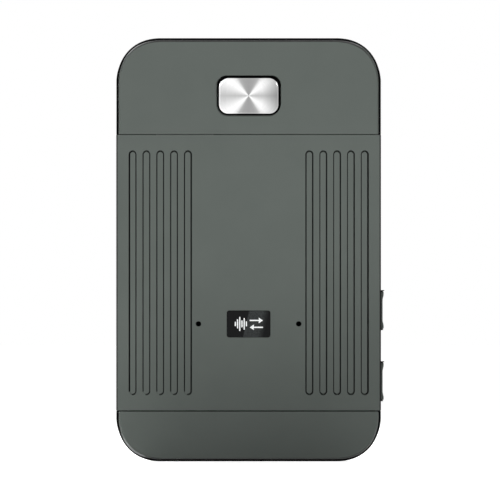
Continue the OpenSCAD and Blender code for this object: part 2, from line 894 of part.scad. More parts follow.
module side_switches() {
    slot = side_plunger_seat + key_travel + plunger_gap;
    color(steel_colour) stand() for (up = [key_upper, key_lower]) difference() {
        translate([side_switch_out - side_switch_w, up - side_switch_l / 2, board_front])
            cube([side_switch_w, side_switch_l, side_switch_t]);
        translate([side_switch_out - slot, up - side_plunger.x / 2 - plunger_gap,
                key_mid - side_plunger.y / 2 - plunger_gap])
            cube([2 * slot, side_plunger.x + 2 * plunger_gap, side_plunger.y + 2 * plunger_gap]);
    }
}

// ---- board ----

module main_board() {
    color(board_colour) stand() difference() {
        body_slab(frame_wall + board_gap, board_back, board_front);
        at_lugs() column(board_screw_d / 2 + shank_gap, board_back - over, board_front + over);
    }
}

module board_screws() {
    head_top = board_front + board_head_t;
    color(steel_colour) stand() at_lugs() difference() {
        union() {
            column(board_head_d / 2, board_front, head_top);
            column(board_screw_d / 2, board_front - board_screw_l, board_front);
        }
        cross_recess(board_head_d, head_top, board_head_t / 2);
    }
}

// A sheet-metal can, open towards the board
module can(size, at) {
    color(steel_colour) stand() difference() {
        block(size, at, board_front, board_front + shield_t);
        block([size.x - 2 * shield_wall, size.y - 2 * shield_wall], at,
            board_front - over, board_front + shield_t - shield_wall);
    }
}

module processor_shield() { can(shield_size, shield_at); }
module radio_shield() { can(radio_size, radio_at); }

module processor_chip() {
    color("#26282b") stand() block(chip_size, shield_at, board_front, board_front + chip_t);
}

// Capacitors beside the processor, with a choke and a crystal
module board_parts() {
    color("#8c7a63") stand() {
        for (s = [-1, 1], i = [0 : capacitor_count - 1])
            block(capacitor_size, [s * (shield_size.x / 2 + capacitor_off),
                shield_at.y + (i - (capacitor_count - 1) / 2) * capacitor_pitch],
                board_front, board_front + capacitor_size.z);
        block(choke_size, choke_at, board_front, board_front + choke_size.z);
        block(crystal_size, crystal_at, board_front, board_front + crystal_size.z);
    }
}

// ---- power ----

module battery() {
    color("#b9bcc0") stand() translate([0, battery_foot + battery_h / 2, 0])
        slab(battery_w, battery_h, battery_corner, battery_back, battery_front,
            front = battery_round, rear = battery_round);
}

module battery_circuit() {
    color("#c9a227") stand() block([circuit_w, circuit_h], [0, battery_head + circuit_h / 2],
        battery_front - circuit_t, battery_front);
}

module battery_tape() {
    edge = battery_round + inner_clear;
    color("#e8e6df") stand() block([battery_w - 2 * edge, battery_h - 2 * edge],
        [0, battery_foot + battery_h / 2], battery_front, board_back);
}

module battery_pad() {
    edge = battery_round + inner_clear;
    color("#2a2a2a") stand() block([battery_w - 2 * edge, battery_h - 2 * edge],
        [0, battery_foot + battery_h / 2], inner_back, battery_back);
}

module battery_socket() {
    color("#d8d2c0") stand() block(socket_size, [0, socket_head - socket_size.y / 2],
        board_back - socket_size.z, board_back);
}

module battery_plug() {
    color("#e9e4d6") stand() block(plug_size, [0, plug_head - plug_size.y / 2],
        lead_z - plug_size.z / 2, lead_z + plug_size.z / 2);
}

module battery_leads() {
    color("#a32020") stand() for (x = [-lead_pitch / 2, lead_pitch / 2])
        translate([x, circuit_head, lead_z])
            rotate([-90, 0, 0]) cylinder(d = lead_d, h = plug_foot - circuit_head);
}

module charging_socket() {
    color(steel_colour) stand() translate([0, 0, usb_mid]) difference() {
        along_y(usb_recess, usb_end) rounded(usb_w, usb_t, usb_corner);
        along_y(usb_recess - over, usb_end - usb_wall)
            rounded(usb_w - 2 * usb_wall, usb_t - 2 * usb_wall, usb_corner - usb_wall);
    }
}

module charging_tongue() {
    color(black_colour) stand() translate([0, 0, usb_mid])
        along_y(usb_recess + tongue_back, usb_end - usb_wall) square(tongue_size, center = true);
}

// ---- speaker ----

module speaker_box() {
    lobe = side - post_in - post_r - inner_clear;
    main_foot = post_in + post_r + inner_clear;
    lobe_foot = lug_in + lug_r + inner_clear;
    color("#1f2023") stand() difference() {
        union() {
            block([speaker_w, speaker_top - main_foot], [0, (speaker_top + main_foot) / 2],
                gasket_front, speaker_front);
            for (s = [0, 1]) mirror([s, 0, 0])
                translate([usb_w / 2 + inner_clear, lobe_foot, gasket_front])
                    cube([lobe - usb_w / 2 - inner_clear, main_foot - lobe_foot, speaker_t]);
        }
        translate([0, membrane_up, 0]) slab(membrane_w, membrane_h, membrane_corner,
            gasket_front - over, gasket_front + membrane_recess);
    }
}

module speaker_membrane() {
    z = gasket_front + membrane_recess - membrane_t;
    color("#3a3d42") stand() translate([0, membrane_up, 0]) {
        slab(membrane_w - fit_gap, membrane_h - fit_gap, membrane_corner - fit_gap / 2,
            z, z + membrane_t);
        slab(membrane_w * dome_share, membrane_h * dome_share, membrane_corner * dome_share,
            z - membrane_t * dome_share, z);
    }
}

module speaker_gasket() {
    color("#2a2a2a") stand() translate([0, membrane_up, 0]) difference() {
        slab(membrane_w + 2 * gasket_w, membrane_h + 2 * gasket_w,
            membrane_corner + gasket_w, mesh_front, gasket_front);
        slab(membrane_w, membrane_h, membrane_corner, mesh_front - over, gasket_front + over);
    }
}

module speaker_mesh() {
    color("#101112") stand() translate([0, membrane_up, 0])
        slab(membrane_w + 2 * gasket_w, membrane_h + 2 * gasket_w,
            membrane_corner + gasket_w, inner_back, mesh_front);
}

// ---- antenna ----

module antenna_bracket() {
    wide = speaker_w;
    narrow = 2 * (side - post_in - post_r - inner_clear);
    middle = 2 * (lug_side - lug_r - inner_clear);
    steps = [[wide, body_h - post_in - post_r - inner_clear],
        [narrow, body_h - lug_in - lug_r - inner_clear],
        [middle, body_h - frame_wall - inner_clear]];
    color("#2b2d30") stand() for (s = steps)
        block([s[0], s[1] - bracket_foot], [0, (s[1] + bracket_foot) / 2],
            inner_back + film_t, bracket_front);
}

module antenna_film() {
    head = body_h - post_in - post_r - inner_clear;
    color("#b87333") stand() block([speaker_w, head - bracket_foot],
        [0, (head + bracket_foot) / 2], inner_back, inner_back + film_t);
}

mid_frame();
top_cap();
middle_panel();
bottom_cap();
rear_cover();
case_screws();
talk_button_cap();
talk_button_carrier();
talk_button_guide();
talk_switch();
talk_plunger();
display_window();
window_tape();
display_module();
display_pad();
display_strip();
display_connector();
microphones();
microphone_boots();
upper_key_cap();
upper_key_base();
upper_plunger();
lower_key_cap();
lower_key_base();
lower_plunger();
side_switches();
main_board();
board_screws();
processor_shield();
processor_chip();
radio_shield();
board_parts();
battery();
battery_circuit();
battery_tape();
battery_pad();
battery_socket();
battery_plug();
battery_leads();
charging_socket();
charging_tongue();
speaker_box();
speaker_membrane();
speaker_gasket();
speaker_mesh();
antenna_bracket();
antenna_film();
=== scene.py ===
import json
import math

import bmesh
import bpy
import numpy as np
from mathutils import Matrix, Vector
from mathutils.geometry import tessellate_polygon


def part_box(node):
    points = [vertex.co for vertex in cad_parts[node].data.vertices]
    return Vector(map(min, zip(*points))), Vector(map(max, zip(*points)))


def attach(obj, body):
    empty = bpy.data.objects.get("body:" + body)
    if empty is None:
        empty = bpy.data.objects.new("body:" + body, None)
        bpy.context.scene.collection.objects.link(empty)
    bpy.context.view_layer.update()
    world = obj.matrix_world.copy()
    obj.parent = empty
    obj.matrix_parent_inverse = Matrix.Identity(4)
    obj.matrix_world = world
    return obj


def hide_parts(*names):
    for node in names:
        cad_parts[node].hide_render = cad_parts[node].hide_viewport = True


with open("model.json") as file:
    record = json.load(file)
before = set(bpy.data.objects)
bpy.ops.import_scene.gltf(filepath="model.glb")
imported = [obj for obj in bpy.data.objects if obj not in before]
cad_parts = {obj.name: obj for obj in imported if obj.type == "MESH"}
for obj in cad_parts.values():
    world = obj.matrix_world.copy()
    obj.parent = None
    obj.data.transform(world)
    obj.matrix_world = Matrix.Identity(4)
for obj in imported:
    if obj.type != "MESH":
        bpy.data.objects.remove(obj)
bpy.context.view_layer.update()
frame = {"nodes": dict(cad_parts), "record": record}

# Lengths in this script are millimetres in the frame's axes: x across the face, y from the face to
# the back, z up. Meshes are scaled to metres when they are made.
millimetre = 0.001


def nodeBox(node):  # the lowest and the highest corner
    low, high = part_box(node)
    return np.array(low) / millimetre, np.array(high) / millimetre


frameLow, frameHigh = nodeBox("mid_frame")
panelLow, panelHigh = nodeBox("middle_panel")
topHigh = nodeBox("top_cap")[1]
bottomLow = nodeBox("bottom_cap")[0]
coverLow, coverHigh = nodeBox("rear_cover")
talkLow, talkHigh = nodeBox("talk_button_cap")
windowLow, windowHigh = nodeBox("display_window")
microphoneLow, microphoneHigh = nodeBox("microphones")

face = panelLow[1]  # plane of the face, which looks along -Y
innerFace = nodeBox("window_tape")[0][1]  # inside of the caps and of the panel
frameFront = frameLow[1]
frameBack = panelHigh[1]
back = coverHigh[1]
body = {
    "corner": 10.0,  # radius of the outline's corners
    "faceWall": innerFace - face,
    "frameWall": 2.5,  # thickness of the frame's ring
    "backWall": 1.3,
    "apron": 0.06,  # flat strip that keeps a flat face's shading flat
}
turns = {"frame": 25, "body": 24, "talk": 16, "window": 12, "rib": 12, "key": 10, "screw": 10,
    "microphone": 8, "grille": 5, "bar": 5}  # points round a quarter turn of each outline
mirrored = np.array([-1, 1])  # turns an offset to the other side


def roundedLoop(low, high, radii, steps):  # each corner's centre plus its radius times (cos, sin)
    low, high = np.asarray(low, float), np.asarray(high, float)
    radii = np.broadcast_to(radii, 4).astype(float)[:, None]
    # The corners go lower left, lower right, upper right, upper left.
    towards = np.array([[-1, -1], [1, -1], [1, 1], [-1, 1]])
    centre = np.where(towards < 0, low, high) - towards * radii
    return (centre[:, None] + radii[:, None] * loopNormals(steps).reshape(4, steps, 2)).reshape(-1, 2)


def loopNormals(steps):  # (cos, sin) over the four quarter turns of a rounded loop
    angle = np.pi + np.arange(4)[:, None] * np.pi / 2 + np.linspace(0, np.pi / 2, steps)
    return np.stack([np.cos(angle), np.sin(angle)], axis=-1).reshape(-1, 2)


def atDepth(loop, depth):  # the flat loop with a third column: its depth under the surface it is cut in
    return np.column_stack([loop, np.broadcast_to(depth, len(loop))])


def carriedLoops(low, high, radii, profile, steps):  # the outline moved out by each offset, at each depth
    loops = []
    for offset, depth in profile:
        moved = roundedLoop(np.subtract(low, offset), np.add(high, offset), np.add(radii, offset), steps)
        loops.append(atDepth(moved, depth))
    return np.stack(loops)


def roundHole(middle, radius, profile, steps):  # the same for a circle
    return carriedLoops(np.subtract(middle, radius), np.add(middle, radius), radius, profile, steps)


def quarterTurn(steps, power=2.0):  # superellipse x^p + y^p = 1 from (0, 1) to (1, 0); p = 2 is a round
    angle = np.linspace(np.pi / 2, 0, steps)
    return np.cos(angle).clip(0) ** (2 / power), np.sin(angle).clip(0) ** (2 / power)


def denseLoop(loop, between):  # the same loop with points added along its four straight stretches
    corners = loop.reshape(4, -1, 2)
    share = np.linspace(0, 1, between + 2)[1:-1, None]
    ahead = np.roll(corners[:, 0], -1, axis=0)[:, None]
    straight = corners[:, -1:] * (1 - share) + ahead * share
    return np.concatenate([corners, straight], axis=1).reshape(-1, 2)


def roundEdge(radius, steps):  # offsets and depths of a round lip, from the flat surface down to the wall
    return radius * (1 - np.column_stack(quarterTurn(steps)))


def holeProfile(lip, thickness, steps=5):  # flat apron, quarter-round lip, straight wall
    return np.concatenate([[[lip + body["apron"], 0]], roundEdge(lip, steps), [[0, thickness]]])


def grooveProfile(width, depth, lip, steps=4):  # lip, wall, half-round floor, wall and lip of a groove
    floor, half = np.linspace(0, np.pi, 2 * steps + 1), width / 2
    bottom = np.column_stack([half * np.cos(floor), depth - half + half * np.sin(floor)])
    outer = np.concatenate([[[half + lip + body["apron"], 0]], roundEdge(lip, steps) + [half, 0]])
    return np.concatenate([outer, bottom, outer[::-1] * mirrored])


# A patch is an array of points with the faces that join them.
def bandPatch(loops, place, keep=None):  # quads between each loop and the next, closed round the loop
    rows, count = loops.shape[:2]
    index = np.arange(rows * count).reshape(rows, count)
    after = np.roll(index, -1, axis=1)
    quads = np.stack([index[:-1], after[:-1], after[1:], index[1:]], axis=-1)
    quads = quads.reshape(-1, 4) if keep is None else quads[keep]
    return place(loops.reshape(-1, 3)), quads


def fillPatch(loops, place):  # the flat region inside the first loop and outside the others, in triangles
    level = loops[0][0, 2]
    flat = [atDepth(loop[:, :2], 0).tolist() for loop in loops]
    return place(atDepth(np.concatenate(loops)[:, :2], level)), np.array(tessellate_polygon(flat))


def sheetPatches(shell, place, holes=()):  # the walls of a sheet and of its holes, and its two flat ends
    ends = ([loops[end] for loops in (shell, *holes)] for end in (0, -1))
    return [bandPatch(loops, place) for loops in (shell, *holes)] + [fillPatch(end, place) for end in ends]


def asDrawn(points):  # for a surface worked out in x, y and z
    return points


def onFace(level=face):  # (u, v, depth) to (x, y, z), for a surface that looks along -Y
    return lambda points: np.column_stack([points[:, 0], level + points[:, 2], points[:, 1]])


def onBack(level=back):  # the same for a surface that looks along +Y
    return lambda points: np.column_stack([points[:, 0], level - points[:, 2], points[:, 1]])


def onSide(level):  # (y, z, depth) to (x, y, z), for a surface that looks along +X
    return lambda points: np.column_stack([level - points[:, 2], points[:, 0], points[:, 1]])


joining = {"weld": 2e-4, "shortest": 1e-4}  # millimetres: nearer points become one, shorter edges go


# One welded mesh of all patches, smooth up to the sharp angle, in degrees.
def makePiece(name, patches, material, rideOn, replaced=(), sharp=32):
    pointSets, faceSets = zip(*patches)
    starts = np.cumsum([0] + [len(points) for points in pointSets])
    points = np.concatenate(pointSets) * millimetre
    faces = [row for start, rows in zip(starts, faceSets) for row in (rows + start).tolist()]
    mesh = bpy.data.meshes.new(name)
    mesh.from_pydata(points, [], faces)
    work = bmesh.new()
    work.from_mesh(mesh)
    bmesh.ops.remove_doubles(work, verts=work.verts, dist=joining["weld"] * millimetre)
    bmesh.ops.dissolve_degenerate(work, edges=work.edges, dist=joining["shortest"] * millimetre)
    bmesh.ops.recalc_face_normals(work, faces=work.faces)
    work.to_mesh(mesh)
    work.free()
    mesh.shade_smooth()
    mesh.set_sharp_from_angle(angle=math.radians(sharp))
    mesh.materials.append(material)
    piece = bpy.data.objects.new(name, mesh)
    bpy.context.scene.collection.objects.link(piece)
    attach(piece, rideOn)
    if replaced:
        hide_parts(*replaced)
    return piece


def linear(colour):  # a screen colour of 0 to 255 to the linear value that a shader takes
    value = np.array(colour, float) / 255
    value = np.where(value <= 0.04045, value / 12.92, ((value + 0.055) / 1.055) ** 2.4)
    return (*value.tolist(), 1.0)


black, white = linear((0, 0, 0)), linear((255, 255, 255))
noiseBand = (0.35, 0.65)  # most of a noise's values lie between these
wideBand = (0.3, 0.7)
cloudDetail, wearDetail = 3.0, 4.0  # of the noises for tone and for roughness


class Tree:  # a short way to add and join shader nodes
    def __init__(self, tree):
        self.tree = tree

    def add(self, kind, settings=(), **sockets):
        node = self.tree.nodes.new(kind)
        for key, value in dict(settings).items():
            setattr(node, key, value)
        self.fill(node, sockets)
        return node

    def put(self, socket, value):
        if isinstance(value, bpy.types.NodeSocket):
            self.tree.links.new(value, socket)
        else:
            socket.default_value = value

    def fill(self, node, sockets):
        for key, value in sockets.items():
            self.put(node.inputs[key.replace("_", " ")], value)

    def inOrder(self, kind, values, settings=()):  # a node's first output, its sockets filled in turn
        node = self.add(kind, settings)
        for socket, value in zip(node.inputs, values):
            self.put(socket, value)
        return node.outputs[0]

    def math(self, operation, *values):
        return self.inOrder("ShaderNodeMath", values, {"operation": operation})

    def between(self, value, low, high, fromLow=0.0, fromHigh=1.0):
        return self.inOrder("ShaderNodeMapRange", (value, fromLow, fromHigh, low, high))


class Nodes(Tree):  # the nodes of one of the object's materials
    def __init__(self, name):
        self.material = bpy.data.materials.new(name)
        self.material.use_nodes = True
        super().__init__(self.material.node_tree)
        self.shader = self.tree.nodes["Principled BSDF"]
        self.place = self.add("ShaderNodeTexCoord").outputs["Object"]

    def times(self, first, second):
        return self.math("MULTIPLY", first, second)

    def minus(self, first, second):
        return self.math("SUBTRACT", first, second)

    def size(self, value):
        return self.math("ABSOLUTE", value)

    def parts(self, vector=None):  # X, Y and Z, of the place where nothing else is given
        node = self.add("ShaderNodeSeparateXYZ", Vector=vector or self.place)
        return [node.outputs[axis] for axis in "XYZ"]

    def fromMiddle(self, low, high):  # X and Z, from the middle of that box
        middle = (low + high) / 2 * millimetre
        return [self.minus(way, float(centre)) for way, centre in zip(self.parts()[::2], middle[::2])]

    def noise(self, grain, detail=2.0, vector=None):  # size of one grain, in millimetres
        node = self.add("ShaderNodeTexNoise", Scale=1 / (grain * millimetre), Detail=detail)
        self.put(node.inputs["Vector"], vector or self.place)
        return node.outputs["Fac"]

    def mixed(self, share, first, second):  # by the three sockets that a mix of colours uses
        node = self.add("ShaderNodeMix", {"data_type": "RGBA"})
        for socket, value in zip((node.inputs[0], node.inputs[6], node.inputs[7]), (share, first, second)):
            self.put(socket, value)
        return node.outputs[2]

    def bump(self, height, depth):  # depth in millimetres
        node = self.add("ShaderNodeBump", Height=height, Distance=depth * millimetre, Strength=1.0)
        return node.outputs["Normal"]

    def onEdges(self, sideways, upward, downward, gain=3.0):  # min(1, gain |ny|) |weighted (nx, nz)|
        across, ahead, up = self.parts(self.add("ShaderNodeNewGeometry").outputs["Normal"])
        rise = self.math("MAXIMUM", self.times(up, upward), self.times(up, -downward))
        turned = self.add("ShaderNodeCombineXYZ", X=self.times(across, sideways), Z=rise)
        length = self.add("ShaderNodeVectorMath", {"operation": "LENGTH"})
        self.put(length.inputs[0], turned.outputs[0])
        facing = self.math("MINIMUM", 1.0, self.times(gain, self.size(ahead)))
        return self.times(facing, length.outputs["Value"])

    def finish(self, **sockets):
        self.fill(self.shader, sockets)
        return self.material


def mouldedPlastic(name, look):  # fine even grain over broad, faint clouds of tone; painted shade on edges where the look gives edge weights
    nodes = Nodes(name)
    clouds = nodes.between(nodes.noise(look["cloud"], cloudDetail), 0.0, 1.0, *noiseBand)
    smoothest, roughest = look["rough"] - look["spread"], look["rough"] + look["spread"]
    colour = nodes.mixed(clouds, linear(look["colour"]), linear(look["second"]))
    # Painted shade: edges that face sideways, up or down are mixed towards black.
    if "edge" in look:
        colour = nodes.mixed(nodes.onEdges(*look["edge"]), colour, black)
    return nodes.finish(
        Base_Color=colour,
        Roughness=nodes.between(nodes.noise(look["wear"], wearDetail), smoothest, roughest, *wideBand),
        Specular_IOR_Level=look["specular"],
        Metallic=look["metallic"],
        Normal=nodes.bump(nodes.noise(look["grain"]), look["depth"]))


# Colours are on the screen's scale of 0 to 255; clouds, grains, wear and depth are in millimetres.
columns = ("colour", "second", "cloud", "grain", "wear", "rough", "spread", "specular", "depth", "metallic")
finishes = {slot: dict(zip(columns, row)) for slot, row in {
    "case_plastic": ((90, 96, 92), (88, 94, 90), 9.0, 0.22, 3.0, 0.45, 0.05, 0.25, 0.005, 0.0),
    "key_plastic": ((84, 90, 86), (80, 86, 82), 3.0, 0.2, 2.0, 0.48, 0.05, 0.25, 0.005, 0.0),
    "frame_plastic": ((8, 8, 9), (11, 11, 12), 5.0, 0.18, 2.5, 0.6, 0.06, 0.04, 0.004, 0.0),
    "black_rubber": ((14, 14, 15), (22, 22, 23), 1.5, 0.12, 1.0, 0.75, 0.08, 0.15, 0.008, 0.0),
    "black_foam": ((18, 18, 19), (34, 34, 35), 0.6, 0.25, 0.8, 0.95, 0.03, 0.1, 0.08, 0.0),
    "tape": ((186, 184, 176), (206, 204, 198), 4.0, 0.3, 1.5, 0.5, 0.1, 0.4, 0.01, 0.0),
    "steel": ((176, 178, 180), (160, 162, 164), 2.0, 0.1, 0.8, 0.34, 0.08, 0.5, 0.003, 1.0),
    "board_laminate": ((22, 66, 44), (34, 92, 62), 1.2, 0.3, 1.5, 0.35, 0.08, 0.5, 0.012, 0.0),
    "chip_plastic": ((34, 35, 37), (46, 47, 49), 1.0, 0.08, 1.0, 0.6, 0.06, 0.4, 0.004, 0.0),
    "part_ceramic": ((138, 118, 92), (160, 138, 110), 0.6, 0.06, 0.5, 0.5, 0.1, 0.4, 0.004, 0.0),
    "connector_plastic": ((214, 208, 190), (226, 220, 204), 1.0, 0.1, 0.8, 0.45, 0.05, 0.4, 0.003, 0.0),
    "battery_foil": ((176, 178, 182), (196, 198, 202), 6.0, 1.4, 2.5, 0.38, 0.1, 0.5, 0.05, 0.9),
    "circuit_laminate": ((196, 160, 44), (214, 182, 70), 1.0, 0.2, 1.0, 0.4, 0.08, 0.45, 0.006, 0.0),
    "lead_jacket": ((158, 26, 28), (180, 38, 38), 0.8, 0.1, 1.0, 0.42, 0.06, 0.45, 0.003, 0.0),
    "display_glass": ((18, 22, 28), (26, 32, 40), 4.0, 0.5, 3.0, 0.12, 0.03, 0.5, 0.001, 0.0),
    "flex_film": ((176, 96, 30), (198, 120, 48), 1.2, 0.4, 1.0, 0.35, 0.06, 0.5, 0.008, 0.0),
    "copper_film": ((196, 122, 78), (212, 140, 96), 3.0, 0.5, 1.5, 0.32, 0.08, 0.5, 0.008, 1.0),
}.items()}
plastics = {slot: mouldedPlastic(slot, look) for slot, look in finishes.items()}
# Painted edge shade: how much light an edge loses that looks sideways, up or down. Over 1, more of it is
# black.
panelPlasticEdgeShade = mouldedPlastic("panel_plastic", {**finishes["case_plastic"], "edge": (2.8, 0.5, 0.5)})
capPlasticEdgeShade = mouldedPlastic("cap_plastic", {**finishes["case_plastic"], "edge": (0.12, 1.15, 0.95)})


spun = {
    "tones": ((0.0, 155), (0.22, 160), (0.32, 175), (0.42, 230), (0.5, 250), (0.62, 250), (0.76, 230),
        (0.88, 210), (1.0, 190)),  # painted reflection of the spun brushing: grey by the share of a right angle from upright
    "streakTone": 140,
    "streakShare": 0.16,  # how strong the darkest streak is
    "streakWidth": 0.08,
    "streakDetail": 3.0,
    "streaks": 4,  # about this many follow each other over a right angle
    "shadeFrom": 3.2,  # painted shade: distance to the right of the middle where the tone starts to fall
    "shadeTo": 7.0,
    "shade": 0.53,  # how much of the light is lost there
    "shadeBend": 0.4,  # how far that distance goes from being level to being measured from the middle
    "bevelLight": (0.84, 0.2, 0.2),  # painted highlight on the bevel: on the sides, the top and the bottom
    "rough": (0.28, 0.36),
    "anisotropy": 0.5,
    "ringPitch": 0.09,
    "ringDepth": 0.0012,
}


def spunMetal():  # painted reflection: tone by the angle round the middle as spun brushing reflects light, a painted highlight on the bevel, painted shade to the right, and fine concentric rings
    nodes = Nodes("spun_metal")
    across, upward = nodes.fromMiddle(talkLow, talkHigh)
    radius = nodes.math("SQRT", nodes.math("ADD", nodes.times(across, across), nodes.times(upward, upward)))
    angle = nodes.math("ARCTAN2", nodes.size(across), nodes.size(upward))
    turn = nodes.math("DIVIDE", angle, math.pi / 2)  # 0 straight up or down, 1 straight to a side
    streakLength = spun["streaks"] * spun["streakWidth"] * millimetre
    streak = nodes.add("ShaderNodeCombineXYZ", X=radius, Y=nodes.times(turn, streakLength))
    brushed = nodes.noise(spun["streakWidth"], spun["streakDetail"], streak.outputs[0])
    # Painted reflection: the conic pattern of light on spun metal, as a ramp of greys.
    ramp = nodes.add("ShaderNodeValToRGB", Fac=turn)
    stops = ramp.color_ramp.elements
    for number, (position, grey) in enumerate(spun["tones"]):
        stop = stops[number] if number < 2 else stops.new(position)
        stop.position, stop.color = position, linear((grey, grey, grey))
    share = nodes.between(brushed, 0.0, spun["streakShare"], *noiseBand)
    tone = nodes.mixed(share, ramp.outputs["Color"], linear([spun["streakTone"]] * 3))
    # Painted highlight on the bevel, mixed towards white.
    tone = nodes.mixed(nodes.onEdges(*spun["bevelLight"]), tone, white)
    # Painted shade: the tone falls towards black to the right of the middle.
    beyond = nodes.minus(radius, nodes.size(across))
    away = nodes.math("ADD", across, nodes.times(beyond, spun["shadeBend"]))
    shadeFrom, shadeTo = spun["shadeFrom"] * millimetre, spun["shadeTo"] * millimetre
    tone = nodes.mixed(nodes.between(away, 0.0, spun["shade"], shadeFrom, shadeTo), tone, black)
    rings = nodes.math("SINE", nodes.times(radius, 2 * math.pi / (spun["ringPitch"] * millimetre)))
    return nodes.finish(Base_Color=tone, Metallic=1.0, Roughness=nodes.between(brushed, *spun["rough"]),
        Anisotropic=spun["anisotropy"], Normal=nodes.bump(rings, spun["ringDepth"]))


glossy = {
    "base": (14, 15, 16),
    "paintedGlare": (57, 60, 60),  # painted reflection: a slanted band of glare across the window
    "bandFoot": -1.5,  # left edge of the band at the window's foot, from the middle
    "bandLean": 1.9,  # how far that edge leans to the right from foot to head
    "bandWidth": 3.7,
    "leftEdge": (-0.12, 0.12),  # the band starts and is full at these distances from its left edge
    "rightEdge": (-0.6, 0.9),  # and starts to end and is gone at these from its right edge
    "glareGrain": 0.3,
    "glareDetail": 1.0,
    "glareShare": (0.55, 1.1),
    "dustGrain": 0.8,
    "rough": (0.06, 0.1),
    "specular": 0.12,
}


def windowPlastic():  # smooth black with a painted reflection, a slanted band of glare broken by a fine noise
    nodes = Nodes("window_plastic")
    lean = glossy["bandLean"] / (windowHigh[2] - windowLow[2])
    across, upward = (nodes.math("DIVIDE", way, millimetre)
        for way in nodes.fromMiddle(windowLow, windowHigh))
    inBand = nodes.minus(nodes.minus(across, nodes.times(upward, lean)),
        glossy["bandFoot"] + glossy["bandLean"] / 2)
    entering = nodes.between(inBand, 0.0, 1.0, *glossy["leftEdge"])
    leaving = nodes.between(inBand, 1.0, 0.0, *(glossy["bandWidth"] + edge for edge in glossy["rightEdge"]))
    # Painted reflection: a fine noise breaks up the band of glare.
    glareNoise = nodes.noise(glossy["glareGrain"], glossy["glareDetail"])
    grain = nodes.between(glareNoise, *glossy["glareShare"], *noiseBand)
    share = nodes.times(nodes.times(entering, leaving), grain)
    return nodes.finish(Base_Color=nodes.mixed(share, linear(glossy["base"]), linear(glossy["paintedGlare"])),
        Roughness=nodes.between(nodes.noise(glossy["dustGrain"], wearDetail), *glossy["rough"]),
        Specular_IOR_Level=glossy["specular"])


lit = {
    "cell": 0.14,
    "cellEdge": 0.35,  # share of a cell's light at which it is full
    "gap": (150, 154, 154),
    "light": (246, 248, 248),
    "glow": 0.25,
    "rough": 0.4,
}


def litMark():  # pale light of the display, broken into its fine square cells
    nodes = Nodes("lit_mark")
    across, upward = nodes.parts()[::2]
    waves = [nodes.size(nodes.math("SINE", nodes.times(way, math.pi / (lit["cell"] * millimetre))))
        for way in (across, upward)]
    share = nodes.between(nodes.math("MINIMUM", *waves), 0.0, 1.0, 0.0, lit["cellEdge"])
    colour = nodes.mixed(share, linear(lit["gap"]), linear(lit["light"]))
    return nodes.finish(Base_Color=colour, Roughness=lit["rough"], Emission_Color=colour,
        Emission_Strength=lit["glow"])


plastics["spun_metal"] = spunMetal()
plastics["window_plastic"] = windowPlastic()
markMaterial = litMark()

throughHoles = {"microphones": "black_foam"}  # what shows in the microphone holes is their dark felt
for part in frame["record"]["subparts"]:
    node = frame["nodes"][part["node"]]
    node.data.materials.clear()
    node.data.materials.append(plastics[throughHoles.get(part["node"], part["material_slot"])])
print("materials:", len(plastics), "finishes on", len(frame["nodes"]), "nodes")


topCap = {
    "seamWidth": 0.1,
    "seamRound": 0.05,
    "seamCorner": 0.3,  # radius of the outline's two corners at the seam
    "seamFlange": 0.8,  # thickness of the wall at the seam
    "edgeRound": (0.22, 0.35),  # along the sides and along the end
    "rimAtCorner": 0.4,  # how far the cap stands in from the frame in the middle of a corner
    "facets": (0.55, 0.5),  # width of the edge in the middle of the right and of the left corner
    "facetSlope": 1.6,  # its drop for each millimetre of its width
    "facetShape": 1.35,  # superellipse power: 1 is flat, 2 is round
    "edgeSteps": 9,
    "skirtLip": 0.08,
    "lipSteps": 4,
    "innerCorner": 0.05,
}
bottomCap = {**topCap, "seamWidth": 0.18, "edgeRound": (0.22, 0.25), "facets": (0.4, 0.45)}
frameCorner = {
    "across": 10.2,  # half axes and power of the corner's superellipse
    "upward": 10.9,
    "power": 2.25,
    "proud": 0.01,  # least height over the frame's own round corner
    "depth": 0.7,  # how far the skin reaches into the frame
    "lip": 0.08,
    "bracket": (0.5, 1.5),  # shares of the round corner's radius that the superellipse lies between
    "halvings": 40,
}


def cornerBulge(directions):  # how far the superellipse lies outside the round corner, found by halving
    halfAxes = np.array([frameCorner["across"], frameCorner["upward"]])
    towards = np.abs(directions)
    near, far = (np.full(len(directions), share) for share in frameCorner["bracket"])
    for halving in range(frameCorner["halvings"]):
        share = (near + far) / 2
        points = body["corner"] * share[:, None] * towards + halfAxes - body["corner"]
        outside = ((points / halfAxes) ** frameCorner["power"]).sum(axis=1) > 1
        near, far = np.where(outside, near, share), np.where(outside, share, far)
    return (body["corner"] * (near - 1)).clip(frameCorner["proud"])


